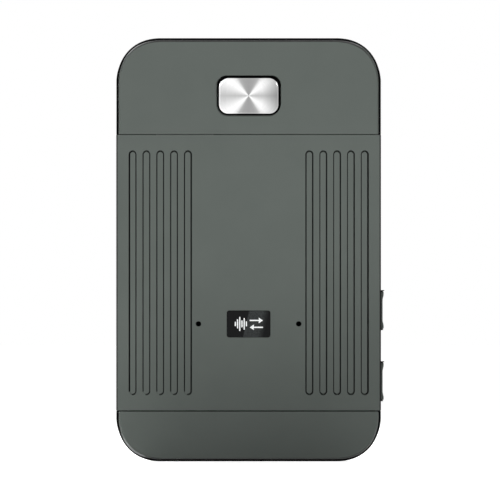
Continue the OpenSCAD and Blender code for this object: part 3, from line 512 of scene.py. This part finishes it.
# The flat face's outline blends into the body's while it drops along a superellipse; then a skirt and the
# hollow inside. It is drawn up from the seam, and turned towards its own edge.
def capPatches(look, seam, edge, holeOf=None):
    half, reach, steps = topHigh[0], abs(edge - seam), turns["body"]
    standIn = frameHigh[0] - half
    corner, wallIn = body["corner"] - standIn, body["frameWall"] - standIn
    (rimX, rimZ), plain = look["edgeRound"], sum(look["edgeRound"]) / math.sqrt(2)
    facetCorners = [corner + (width - plain) / (math.sqrt(2) - 1) for width in look["facets"]]
    seamCorners, innerCorners = [look["seamCorner"]] * 2, [look["innerCorner"]] * 2
    normals = loopNormals(steps)
    outline = roundedLoop((-half, 0), (half, reach), seamCorners + [corner] * 2, steps)
    flat = roundedLoop((rimX - half, look["seamRound"]), (half - rimX, reach - rimZ),
        innerCorners + facetCorners, steps)
    inside = roundedLoop((wallIn - half, look["seamFlange"]), (half - wallIn, reach - wallIn),
        innerCorners + [corner - wallIn] * 2, steps)
    drop = ((outline - flat) * normals).sum(axis=1).clip(0) * look["facetSlope"]
    inCorner = (2 * normals[:, 0] * normals[:, 1]) ** 2  # 1 in the middle of a corner, 0 at its ends
    bulge = cornerBulge(normals) - frameCorner["proud"] + (standIn - look["rimAtCorner"]) * inCorner
    bulge[:2 * steps] = 0  # the two corners at the seam
    outline, flat = outline + normals * bulge[:, None], flat + normals * bulge[:, None]
    skirt, lip = frameFront - face, look["skirtLip"]
    across, up = quarterTurn(look["edgeSteps"], look["facetShape"])
    lipAcross, lipUp = (turn[::-1] for turn in quarterTurn(look["lipSteps"]))
    loops = [atDepth(flat - normals * body["apron"], 0)]
    loops += [atDepth(flat + (outline - flat) * out, drop * (1 - rise)) for out, rise in zip(across, up)]
    loops += [atDepth(outline - normals * lip * (1 - out), skirt - lip * rise)
        for out, rise in zip(lipAcross, lipUp)]
    loops += [atDepth(inside, skirt), atDepth(inside, body["faceWall"])]
    towards = np.array([1, np.sign(edge - seam), 1])

    def place(points):
        return onFace()(points * towards + [0, seam, 0])

    return sheetPatches(np.stack(loops), place, [] if holeOf is None else [holeOf(seam)])


talkHole = {
    "gaps": ((0.42, 0.26), (0.58, 0.5)),  # on the left and under the cap, and on the right and over it
    "corner": (2.5, 2.5, 2.2, 2.2),  # lower left, lower right, upper right, upper left
    "lip": 0.12,
    "softLip": 0.5,  # the lip is this wide on the side that softSide points to
    "softSide": (-0.9, -0.95),
    "lipSteps": 8,
}


def talkOpening(seam):  # two openings with a sharp and a soft lip, blended by direction round the middle
    low = talkLow[[0, 2]] - talkHole["gaps"][0] - [0, seam]
    high = talkHigh[[0, 2]] + talkHole["gaps"][1] - [0, seam]
    sharp, soft = (carriedLoops(low, high, talkHole["corner"],
        holeProfile(talkHole[lip], body["faceWall"], talkHole["lipSteps"]), turns["talk"])
        for lip in ("lip", "softLip"))
    share = (loopNormals(turns["talk"]) @ talkHole["softSide"]).clip(0, 1)[:, None]
    return sharp * (1 - share) + soft * share


makePiece("topCapShell", capPatches(topCap, panelHigh[2] + topCap["seamWidth"], topHigh[2], talkOpening),
    capPlasticEdgeShade, "root", ["top_cap"])
makePiece("bottomCapShell", capPatches(bottomCap, panelLow[2] - bottomCap["seamWidth"], bottomLow[2]),
    capPlasticEdgeShade, "root", ["bottom_cap"])


# A skin over each round corner of the frame: the corner's centre plus radius times (cos, sin), in six rows
# of radius and depth. It is mirrored from the upper right.
def frameCornerPatches():
    angle = np.linspace(0, np.pi / 2, turns["frame"])
    directions = np.column_stack([np.cos(angle), np.sin(angle)])
    outer, inner = body["corner"] + cornerBulge(directions), body["corner"] - frameCorner["depth"]
    front, rear, lip = frameFront - frameCorner["proud"], frameBack, frameCorner["lip"]
    rows = []
    for radius, y in ((inner, front), (outer - lip, front), (outer, front + lip), (outer, rear - lip),
            (outer - lip, rear), (inner, rear)):
        out = np.broadcast_to(radius, len(angle))[:, None]
        points = directions * out + frameHigh[[0, 2]] - body["corner"]
        rows.append(np.column_stack([points[:, 0], np.full(len(angle), y), points[:, 1]]))
    loops = np.stack(rows, axis=1)
    end = np.arange(len(rows))[None]
    patches = []
    for side, upright in ((1, 1), (-1, 1), (1, -1), (-1, -1)):
        lift = 0 if upright > 0 else frameHigh[2] + frameLow[2]
        turned = loops * (side, 1, upright) + [0, 0, lift]
        patches += [bandPatch(turned, asDrawn), (turned[0], end), (turned[-1], end)]
    return patches


cornerGlintTone = {"grey": (24, 25, 25), "lowLeft": (54, 55, 54), "least": 0.4}  # painted highlight on the frame's corners; least: share at a corner's ends


def paintedCornerHighlight():  # the frame's black with a painted highlight: greyer towards the middle of each corner, most at the lower left
    look = finishes["frame_plastic"]
    nodes = Nodes("corner_plastic_painted_highlight")
    reach = ((frameHigh - frameLow) / 2 - body["corner"]) * millimetre
    across, upward = nodes.fromMiddle(frameLow, frameHigh)
    beside, above = (nodes.minus(nodes.size(way), float(end))
        for way, end in zip((across, upward), reach[::2]))
    squares = nodes.math("ADD", nodes.times(beside, beside), nodes.times(above, above))
    inCorner = nodes.math("DIVIDE", nodes.times(2.0, nodes.times(beside, above)), squares)
    # Painted highlight: grey mixed in at each corner's middle, brighter at the lower left.
    share = nodes.between(inCorner, 0.0, 1.0, cornerGlintTone["least"], 1.0)
    lowLeft = nodes.times(nodes.math("LESS_THAN", across, 0.0), nodes.math("LESS_THAN", upward, 0.0))
    grey = nodes.mixed(lowLeft, linear(cornerGlintTone["grey"]), linear(cornerGlintTone["lowLeft"]))
    return nodes.finish(Base_Color=nodes.mixed(share, linear(look["colour"]), grey), Roughness=look["rough"],
        Specular_IOR_Level=look["specular"])


makePiece("frameCorners", frameCornerPatches(), paintedCornerHighlight(), "root")
print("end caps and the frame's corners made")


panel = {
    "sideRound": 0.36,
    "backRound": 0.12,
    "sideWall": 1.2,
    "endRound": 0.05,
    "sideSteps": 9,  # points round each edge of the face
    "backSteps": 4,  # round each rear edge
    "endSteps": 5,  # and round the two ends
}
grip = {
    "count": 5,
    "start": 13.77,  # middle of the innermost rib, from the middle of the face
    "pitch": 3.13,
    "width": 1.54,
    "groove": 0.32,  # width of the groove round a rib's two ends
    "depth": 0.75,
    "lip": 0.04,
    "innerSides": (0.16, 0.125),  # its width along a rib's inner side, in the left and in the right group
    "outerSides": (0.17, 0.23),  # and along its outer side
    "innermost": (0.26, 0.2),  # and along the inner side of the first rib
    "outermost": (0.28, 0.28),  # and along the outer side of the last
    "foot": 3.65,  # from the bottom seam to the ribs' feet
    "head": 3.7,
    "outerDepth": 0.3,  # how much deeper the groove is on the outermost side
    "outerShift": (0.06, 0.0),  # and how far it lies inward there
    "footFade": (0.85, 0.0),  # how much narrower the groove gets round the lower left of a rib's foot
    "fadeGain": 3.0,  # full where nx nz is over a third
}
windowHole = {
    "overlap": ((0.08, 0.02), (0.08, 0.08)),  # over the pane's box: left and below, right and above
    "corner": 0.55,
    "lip": 0.04,
    "flange": 0.9,
}
microphoneHole = {"diameter": 1.13, "lip": 0.06}


def panelSection(inset):  # the bent sheet's outline in x and y, with all its walls moved in
    half, wall = panelHigh[0] - inset, panel["sideWall"] - inset
    front, rear, inner = face + inset, frameBack - inset, innerFace - inset
    inside = panelHigh[0] - wall
    edge, rim, hold = panel["sideRound"], panel["backRound"], body["apron"]
    rearEdge = [half, rear] - roundEdge(rim, panel["backSteps"])  # rim to side
    frontEdge = ([half, front] + roundEdge(edge, panel["sideSteps"]) * mirrored)[::-1]  # side to face
    right = np.concatenate([[[inside, inner], [inside, rear]], rearEdge, [[half, rear - rim - hold]],
        [[half, front + edge + hold]], frontEdge, [[half - edge - hold, front]]])
    return np.concatenate([right, right[::-1] * mirrored])


# The section carried up, and moved in along a quarter turn at both ends. Its four flat strips are left
# out and filled as regions with holes.
def panelPatches():
    section = panelSection(0)
    count = len(section)
    ends = roundEdge(panel["endRound"], panel["endSteps"])
    footRows = [(inset, panelLow[2] + rise) for inset, rise in ends]
    headRows = [(inset, panelHigh[2] - rise) for inset, rise in ends[::-1]]
    hold = body["apron"]
    rows = footRows + [(0, footRows[-1][1] + hold), (0, headRows[0][1] - hold)] + headRows
    loops = np.stack([np.column_stack([panelSection(inset), np.full(count, z)]) for inset, z in rows])
    longRow = len(footRows)
    rearHold = 2 + panel["backSteps"]  # the flat side wall starts at this point of the section
    keep = np.ones((len(rows) - 1, count), bool)
    faceFrom, ceilingFrom = count // 2 - 1, count - 1
    for start in (0, rearHold, faceFrom, ceilingFrom):
        keep[longRow, start] = False
    patches = [bandPatch(loops, asDrawn, keep)]
    patches += [fillPatch([loops[row]], asDrawn) for row in (0, -1)]
    low, high = rows[longRow][1], rows[longRow + 1][1]

    def flatRegion(left, right, place, holes):  # a rectangle in the plane between two heights, less its holes
        outline = np.array([[left, low, 0], [right, low, 0], [right, high, 0], [left, high, 0]])
        return fillPatch([outline] + holes, place)

    openings = [windowOpening()] + microphoneOpenings()
    grooves = gripGrooves()
    keys = keyOpenings()
    flatX = section[faceFrom][0]
    patches.append(flatRegion(-flatX, flatX, onFace(), [loops[0] for loops in openings + grooves]))
    patches += [bandPatch(loops, onFace()) for loops in openings + grooves]
    patches += [fillPatch([loops[-1]], onFace()) for loops in grooves]
    insideX = section[0][0]
    patches.append(flatRegion(-insideX, insideX, onFace(innerFace), [loops[-1] for loops in openings]))
    sideFlat = sorted((section[rearHold][1], section[rearHold + 1][1]))
    patches.append(flatRegion(*sideFlat, onSide(panelHigh[0]), [loops[0] for loops in keys]))
    patches += [bandPatch(loops, onSide(panelHigh[0])) for loops in keys]
    patches.append(flatRegion(innerFace, frameBack, onSide(insideX), [loops[-1] for loops in keys]))
    return patches


def gripGrooves():  # a groove round each rib; its offsets are scaled by direction to its width on either side
    foot, head, half = panelLow[2] + grip["foot"], panelHigh[2] - grip["head"], grip["width"] / 2
    profile = grooveProfile(grip["groove"], grip["depth"], grip["lip"])
    offsets, normals = profile[:, :1], loopNormals(turns["rib"])
    lowLeft = (grip["fadeGain"] * normals.prod(axis=1)).clip(0, 1) * (normals < 0).all(axis=1)
    grooves = []
    for group, side in enumerate((-1, 1)):
        for number in range(grip["count"]):
            first, last = number == 0, number == grip["count"] - 1
            inner = grip["innermost" if first else "innerSides"][group]
            outer = grip["outermost" if last else "outerSides"][group]
            middle = side * (grip["start"] + number * grip["pitch"])
            loops = carriedLoops((middle - half, foot), (middle + half, head), half, profile, turns["rib"])
            faded = offsets * lowLeft * grip["footFade"][group]
            loops[..., :2] -= faded[..., None] * normals
            outward = ((loops[..., 0] - middle) * side / half).clip(-1, 1)  # -1 inner side, 1 outer
            width = np.where(outward > 0, outer, inner)
            loops[..., 0] += side * outward * (offsets - faded) * (width / grip["groove"] - 1)
            if last:
                loops[..., 0] -= side * outward.clip(0) * grip["outerShift"][group]
                loops[..., 2] *= 1 + grip["outerDepth"] / grip["depth"] * outward.clip(0)
            grooves.append(loops)
    return grooves


def windowOpening():  # the pane's outline without its flange, carried in over the lip and down the wall
    (low, high), flange = windowHole["overlap"], windowHole["flange"]
    return carriedLoops(windowLow[[0, 2]] + flange + low, windowHigh[[0, 2]] - flange - high,
        windowHole["corner"], holeProfile(windowHole["lip"], body["faceWall"]), turns["window"])


def microphoneOpenings():  # circles, carried in over the lip and down the wall
    height = (microphoneLow[2] + microphoneHigh[2]) / 2
    reach = (microphoneHigh[2] - microphoneLow[2]) / 2
    profile = holeProfile(microphoneHole["lip"], body["faceWall"])
    return [roundHole((x, height), microphoneHole["diameter"] / 2, profile, turns["microphone"])
        for x in (microphoneLow[0] + reach, microphoneHigh[0] - reach)]


keyHole = {"gap": 0.12, "corner": 0.9, "lip": 0.12}
keyCap = {
    "rim": 0.3,  # width of the rubber base round the cap
    "corner": 0.6,
    "edge": 0.22,  # rounding of the cap's edge
    "dish": 0.24,
    "dishFlat": 2.3,  # half length of the dish's flat middle
    "dishRise": 1.3,  # length over which it rises to the ends
    "dishSteps": 7,
    "edgeSteps": 7,
    "points": 30,  # along each straight side
}
keyCollar = {
    "flange": 0.45,
    "flangeThickness": 0.5,
    "sideDip": 0.2,  # how far the collar lies below its full height along the key's two long sides
    "endRise": (0.25, 0.5),  # and above it round the key's lower and upper end
    "endLength": 0.4,
    "endBlend": 0.25,
    "rimSteps": 5,
}


def keyOpenings():  # the keys' outlines grown by rim and gap, carried in over the lip and down the wall
    grow, corner = keyCap["rim"] + keyHole["gap"], keyHole["corner"] + keyHole["gap"]
    profile = holeProfile(keyHole["lip"], panel["sideWall"])
    boxes = (nodeBox(node) for node in ("upper_key_cap", "lower_key_cap"))
    return [carriedLoops(low[1:] - grow, high[1:] + grow, corner, profile, turns["key"])
        for low, high in boxes]


makePiece("panelShell", panelPatches(), panelPlasticEdgeShade, "root", ["middle_panel"])
print("middle panel made")


cover = {
    "round": 2.4,
    "roundSteps": 12,
    "lip": 0.1,
    "lipSteps": 4,
    "screwHead": 1.6,  # radius of the counterbore
    "screwShank": 0.77,
    "screwDepth": 1.1,
    "screwIn": 6.1,  # from both edges
    "screwLip": 0.12,
    "grilleHole": 0.45,
    "grillePitch": 1.7,
    "grilleCount": (9, 3),
    "grilleAt": 17.0,
    "grilleLip": 0.07,
    "grilleSteps": 3,
}


# The body's outline, carried out over a quarter-round edge, down to the frame and in along its ring,
# with a grid of round holes and four stepped bores.
def coverPatches():
    low, high = coverLow[[0, 2]], coverHigh[[0, 2]]
    depth, wall, lip = back - frameBack, body["frameWall"], cover["lip"]
    profile = np.concatenate([[[-cover["round"] - body["apron"], 0]],
        roundEdge(cover["round"], cover["roundSteps"]) * mirrored,
        roundEdge(lip, cover["lipSteps"])[::-1] * mirrored + [0, depth - lip],
        [[-wall, depth], [-wall, body["backWall"]]]])
    shell = carriedLoops(low, high, body["corner"], profile, turns["body"])
    grille = holeProfile(cover["grilleLip"], body["backWall"], cover["grilleSteps"])
    columns, rows = cover["grilleCount"]
    holes = []
    for column in range(columns):
        for row in range(rows):
            x = (column - (columns - 1) / 2) * cover["grillePitch"]
            z = cover["grilleAt"] + (row - (rows - 1) / 2) * cover["grillePitch"]
            holes.append(roundHole((x, z), cover["grilleHole"], grille, turns["grille"]))
    seat, ledge = cover["screwDepth"], cover["screwShank"] - cover["screwHead"]
    bore = np.concatenate([holeProfile(cover["screwLip"], seat), [[ledge, seat], [ledge, body["backWall"]]]])
    for x in (low[0] + cover["screwIn"], high[0] - cover["screwIn"]):
        for z in (low[1] + cover["screwIn"], high[1] - cover["screwIn"]):
            holes.append(roundHole((x, z), cover["screwHead"], bore, turns["screw"]))
    return sheetPatches(shell, onBack(), holes)


makePiece("rearCoverShell", coverPatches(), plastics["case_plastic"], "root", ["rear_cover"])
print("rear cover made")


talk = {
    "corner": (2.05, 2.05, 2.2, 2.2),
    "standIn": ((0.06, 0.01), (0.0, 0.06)),  # of the left and lower edges, and of the right and upper ones
    "bevel": 0.28,
    "bevelDrop": 0.18,
}


def talkPatches():  # flat turned face, a cut bevel all round, straight side and flat rear
    low, high = talkLow[[0, 2]] + talk["standIn"][0], talkHigh[[0, 2]] - talk["standIn"][1]
    thickness, bevel = talkHigh[1] - talkLow[1], talk["bevel"]
    profile = [(-bevel - body["apron"], 0), (-bevel, 0), (0, talk["bevelDrop"]), (0, thickness)]
    loops = carriedLoops(low, high, talk["corner"], profile, turns["talk"])
    return sheetPatches(loops, onFace(talkLow[1]))


makePiece("talkCapTurned", talkPatches(), plastics["spun_metal"], "talk_button",
    ["talk_button_cap"], sharp=20)


window = {"edge": 0.08, "edgeSteps": 5, "flangeThickness": 0.5, "corner": 0.52, "gap": 0.03}


def windowPatches():  # the opening's outline less a gap, over a small round edge, down, and out to a flange
    flange, edge = windowHole["flange"] + window["gap"], window["edge"]
    low, high = (np.array(side) + flange for side in windowHole["overlap"])
    depth = windowHigh[1] - windowLow[1]
    step = depth - window["flangeThickness"]
    profile = np.concatenate([[[-edge - body["apron"], 0]], roundEdge(edge, window["edgeSteps"]) * mirrored,
        [[0, step], [flange, step], [flange, depth]]])
    loops = carriedLoops(windowLow[[0, 2]] + low, windowHigh[[0, 2]] - high, window["corner"], profile,
        turns["window"])
    return sheetPatches(loops, onFace(windowLow[1]))


makePiece("windowPane", windowPatches(), plastics["window_plastic"], "root",
    ["display_window"])

sign = {
    "thickness": 0.012,
    "barWidth": 0.28,
    "barCorner": 0.13,
    "barPitch": 0.5,
    "barHeights": (1.0, 2.1, 3.2, 1.6, 2.7, 1.2),
    "barsAt": -1.75,  # middle of the bars, from the window's middle
    "arrowsAt": 1.75,
    "arrowLength": 3.0,
    "arrowSpread": 0.78,  # of each arrow from the middle line
    "shaft": 0.3,
    "headLength": 0.95,
    "headHeight": 1.3,
}


def platePatches(loop, place):  # a thin plate with that outline
    return sheetPatches(np.stack([atDepth(loop, 0), atDepth(loop, sign["thickness"])]), place)


def signPatches():  # bars centred on one line, and one arrow turned round for the second
    centre = (windowLow + windowHigh)[[0, 2]] / 2
    place = onFace(windowLow[1] - sign["thickness"])
    patches = []
    heights = sign["barHeights"]
    for number, height in enumerate(heights):
        middle = centre + [sign["barsAt"] + (number - (len(heights) - 1) / 2) * sign["barPitch"], 0]
        half = np.array([sign["barWidth"], height]) / 2
        bar = roundedLoop(middle - half, middle + half, sign["barCorner"], turns["bar"])
        patches += platePatches(bar, place)
    tip, shaft, wing = sign["arrowLength"] / 2, sign["shaft"] / 2, sign["headHeight"] / 2
    neck = tip - sign["headLength"]
    arrow = np.array([[-tip, -shaft], [neck, -shaft], [neck, -wing], [tip, 0], [neck, wing], [neck, shaft],
        [-tip, shaft]])
    for side in (-1, 1):
        middle = centre + [sign["arrowsAt"], side * sign["arrowSpread"]]
        patches += platePatches(middle + arrow * side, place)
    return patches


makePiece("windowSign", signPatches(), markMaterial, "root")
print("talk button and window made")


def smoothStep(value):  # 3 v v - 2 v v v between 0 and 1
    value = np.clip(value, 0, 1)
    return value * value * (3 - 2 * value)


def keyPatches(node):  # loops carried in over the cap's edge, then moved in to its middle line, on the dish
    boxLow, boxHigh = nodeBox(node)
    low, high, edge = boxLow[1:], boxHigh[1:], keyCap["edge"]
    middle = (low + high) / 2

    def movedIn(distance):
        corner = max(keyCap["corner"] - distance, 0)
        return denseLoop(roundedLoop(low + distance, high - distance, corner, turns["key"]), keyCap["points"])

    outer, inner = movedIn(0), movedIn(edge)
    across, up = (turn[::-1] for turn in quarterTurn(keyCap["edgeSteps"]))
    loops = [atDepth(outer, boxHigh[0] - boxLow[0])]
    loops += [atDepth(inner + (outer - inner) * out, edge * (1 - rise)) for out, rise in zip(across, up)]
    for distance in np.linspace(edge, middle[0] - low[0], keyCap["dishSteps"])[1:]:
        loops.append(atDepth(movedIn(distance), 0))
    loops = np.stack(loops)
    along = np.abs(loops[1:, :, 1] - middle[1])
    loops[1:, :, 2] += keyCap["dish"] * (1 - smoothStep((along - keyCap["dishFlat"]) / keyCap["dishRise"]))
    place = onSide(boxHigh[0])
    return [bandPatch(loops, place), fillPatch([loops[0]], place)]


def collarPatches(node, capNode):  # flange, outer wall, rounded rim, and inner wall down to the cap's seat
    boxLow, boxHigh = nodeBox(node)
    capLow, capHigh = nodeBox(capNode)
    rim, flange = keyCap["rim"], keyCollar["flange"]
    low, high = capLow[1:] - rim, capHigh[1:] + rim
    depth = boxHigh[0] - boxLow[0]
    step = depth - keyCollar["flangeThickness"]
    rimEdge = roundEdge(rim / 2, keyCollar["rimSteps"])
    profile = np.concatenate([[[flange, depth], [flange, step], [0, step]],
        rimEdge[::-1] * mirrored, rimEdge[1:] - [rim, 0], [[-rim, boxHigh[0] - capLow[0]]]])
    loops = carriedLoops(low, high, keyHole["corner"], profile, turns["key"])
    collar = loops[3:-1]  # all but the flange and the seat
    collar[..., 2] += keyCollar["sideDip"]
    for fromEnd, rise in zip((collar[..., 1] - low[1], high[1] - collar[..., 1]), keyCollar["endRise"]):
        atEnd = smoothStep((keyCollar["endLength"] - fromEnd) / keyCollar["endBlend"])
        collar[..., 2] -= (keyCollar["sideDip"] + rise) * atEnd
    return sheetPatches(loops, onSide(boxHigh[0]))


for level in ("upper", "lower"):
    capNode, baseNode, keyBody = f"{level}_key_cap", f"{level}_key_base", f"{level}_key"
    makePiece(f"{level}KeyTop", keyPatches(capNode), plastics["key_plastic"], keyBody,
        [capNode], sharp=40)
    makePiece(f"{level}KeyCollar", collarPatches(baseNode, capNode), plastics["black_rubber"], keyBody,
        [baseNode], sharp=40)
print("side keys made")


studio = {
    "floorSize": 6000.0,
    "floorTone": (0.8, 0.8, 0.8, 1.0),
    "floorLift": 0.8,  # added where the floor is seen, so that only shadows leave white
    "worldLight": 0.28,
    "distance": 2500.0,  # camera to the face
    "clip": (0.01, 50),  # metres
    "pictureSide": 500,  # pixels
    "pixel": 0.22665,  # millimetres at the face
    "objectAt": (248.6, 249.75),  # the object's middle in the picture
}
# Lamps: azimuth from straight in front, positive to the right; size, distance and aim in millimetres.
frontLamp = dict(elevation=22, distance=420)
rearLamp = dict(elevation=35, roll=0, distance=450, size=(260, 260), aim=(0, 48), power=1.15, spread=180)
lamps = {
    "keyLeft": dict(frontLamp, azimuth=-45, roll=46, size=(260, 260), aim=(-92, 168), power=0.136, spread=7),
    "keyRight": dict(frontLamp, azimuth=45, roll=-37, size=(260, 260), aim=(78, 174), power=0.083, spread=7),
    "footLeft": dict(frontLamp, azimuth=-45, roll=0, size=(45, 42), aim=(-56, 22), power=0.0018, spread=3),
    "footRight": dict(frontLamp, azimuth=45, roll=0, size=(45, 40), aim=(52, 4), power=0.0008, spread=3),
    "rearLeft": dict(rearLamp, azimuth=-140),
    "rearRight": dict(rearLamp, azimuth=140),
}
cards = {  # a corner, the two edges that leave it, and a strength; they show in glossy reflections alone
    "blackLeft": dict(corner=(-90, -10, 0), edges=((0, 180, 0), (0, 0, 150)), strength=0.0),
    "blackRight": dict(corner=(90, -10, 0), edges=((0, 180, 0), (0, 0, 230)), strength=0.0),
    "whiteLow": dict(corner=(-38, -5.5, 0.3), edges=((14, 0, 0), (0, 16, 0)), strength=5.0),
}


def seenDirectly(nodes):  # 1 for camera, glossy and transmission rays, else 0
    path = nodes.add("ShaderNodeLightPath")
    plain = nodes.math("MAXIMUM", path.outputs["Is Camera Ray"], path.outputs["Is Glossy Ray"])
    return nodes.math("MAXIMUM", plain, path.outputs["Is Transmission Ray"])


def stagePlane(name, corners, shaderOf):  # one flat face with its own shader
    mesh = bpy.data.meshes.new(name)
    mesh.from_pydata((np.array(corners, float) * millimetre).tolist(), [], [(0, 1, 2, 3)])
    material = bpy.data.materials.new(name)
    material.use_nodes = True
    nodes = Tree(material.node_tree)
    nodes.tree.nodes.clear()
    nodes.add("ShaderNodeOutputMaterial", Surface=shaderOf(nodes))
    mesh.materials.append(material)
    plane = bpy.data.objects.new(name, mesh)
    bpy.context.scene.collection.objects.link(plane)
    return plane


def emission(nodes, strength):
    return nodes.add("ShaderNodeEmission", Strength=strength).outputs[0]


def floorShader(nodes):  # a pale floor, lifted to white where it is seen; shadows stay
    pale = nodes.add("ShaderNodeBsdfDiffuse", Color=studio["floorTone"]).outputs[0]
    lifted = nodes.inOrder("ShaderNodeAddShader", (pale, emission(nodes, studio["floorLift"])))
    return nodes.inOrder("ShaderNodeMixShader", (seenDirectly(nodes), pale, lifted))


def makeFloor():
    half = studio["floorSize"] / 2
    corners = [(-half, -half, 0), (half, -half, 0), (half, half, 0), (-half, half, 0)]
    stagePlane("paleFloor", corners, floorShader)


def makeCard(name, card):  # the parallelogram of its corner and two edges
    corner, (first, second) = np.array(card["corner"]), np.array(card["edges"])
    corners = [corner, corner + first, corner + first + second, corner + second]
    plane = stagePlane(name, corners, lambda nodes: emission(nodes, card["strength"]))
    plane.visible_camera = plane.visible_diffuse = plane.visible_shadow = plane.visible_transmission = False


def makeWorld():  # white where it is seen or reflected, a soft fill for everything else
    world = bpy.data.worlds.new("studioWorld")
    world.use_nodes = True
    nodes = Tree(world.node_tree)
    strength = nodes.between(seenDirectly(nodes), studio["worldLight"], 1.0)
    nodes.fill(nodes.tree.nodes["Background"], {"Color": white, "Strength": strength})
    bpy.context.scene.world = world


def makeLamp(name, lamp):  # aim plus distance times (sin a cos e, -cos a cos e, sin e), turned by roll
    azimuth, elevation, roll = (math.radians(lamp[key]) for key in ("azimuth", "elevation", "roll"))
    right = Vector((math.cos(azimuth), math.sin(azimuth), 0))
    level = math.cos(elevation)
    outward = Vector((math.sin(azimuth) * level, -math.cos(azimuth) * level, math.sin(elevation)))
    up = outward.cross(right)
    across = right * math.cos(roll) + up * math.sin(roll)
    light = bpy.data.lights.new(name, "AREA")
    light.shape = "RECTANGLE"
    light.size, light.size_y = (side * millimetre for side in lamp["size"])
    light.energy = lamp["power"]
    light.spread = math.radians(lamp["spread"])
    holder = bpy.data.objects.new(name, light)
    turned = Matrix((across, outward.cross(across), outward)).transposed().to_4x4()
    aim = Vector((lamp["aim"][0], face, lamp["aim"][1]))
    turned.translation = (aim + outward * lamp["distance"]) * millimetre
    holder.matrix_world = turned
    bpy.context.scene.collection.objects.link(holder)


def makeCamera():  # level, straight in front of the face
    side, pixel = studio["pictureSide"], studio["pixel"]
    x = (side / 2 - studio["objectAt"][0]) * pixel
    z = (frameHigh[2] + frameLow[2]) / 2 + (studio["objectAt"][1] - side / 2) * pixel
    data = bpy.data.cameras.new("frontCamera")
    data.sensor_fit = "HORIZONTAL"
    data.angle = 2 * math.atan(side * pixel / 2 / studio["distance"])
    data.clip_start, data.clip_end = studio["clip"]
    camera = bpy.data.objects.new("frontCamera", data)
    camera.location = Vector((x, face - studio["distance"], z)) * millimetre
    camera.rotation_euler = (math.pi / 2, 0, 0)
    bpy.context.scene.collection.objects.link(camera)
    bpy.context.scene.camera = camera


makeFloor()
makeWorld()
for name, card in cards.items():
    makeCard(name, card)
for name, lamp in lamps.items():
    makeLamp(name, lamp)
makeCamera()
bpy.context.scene.view_settings.view_transform = "Standard"
print("stage, lamps and camera ready")
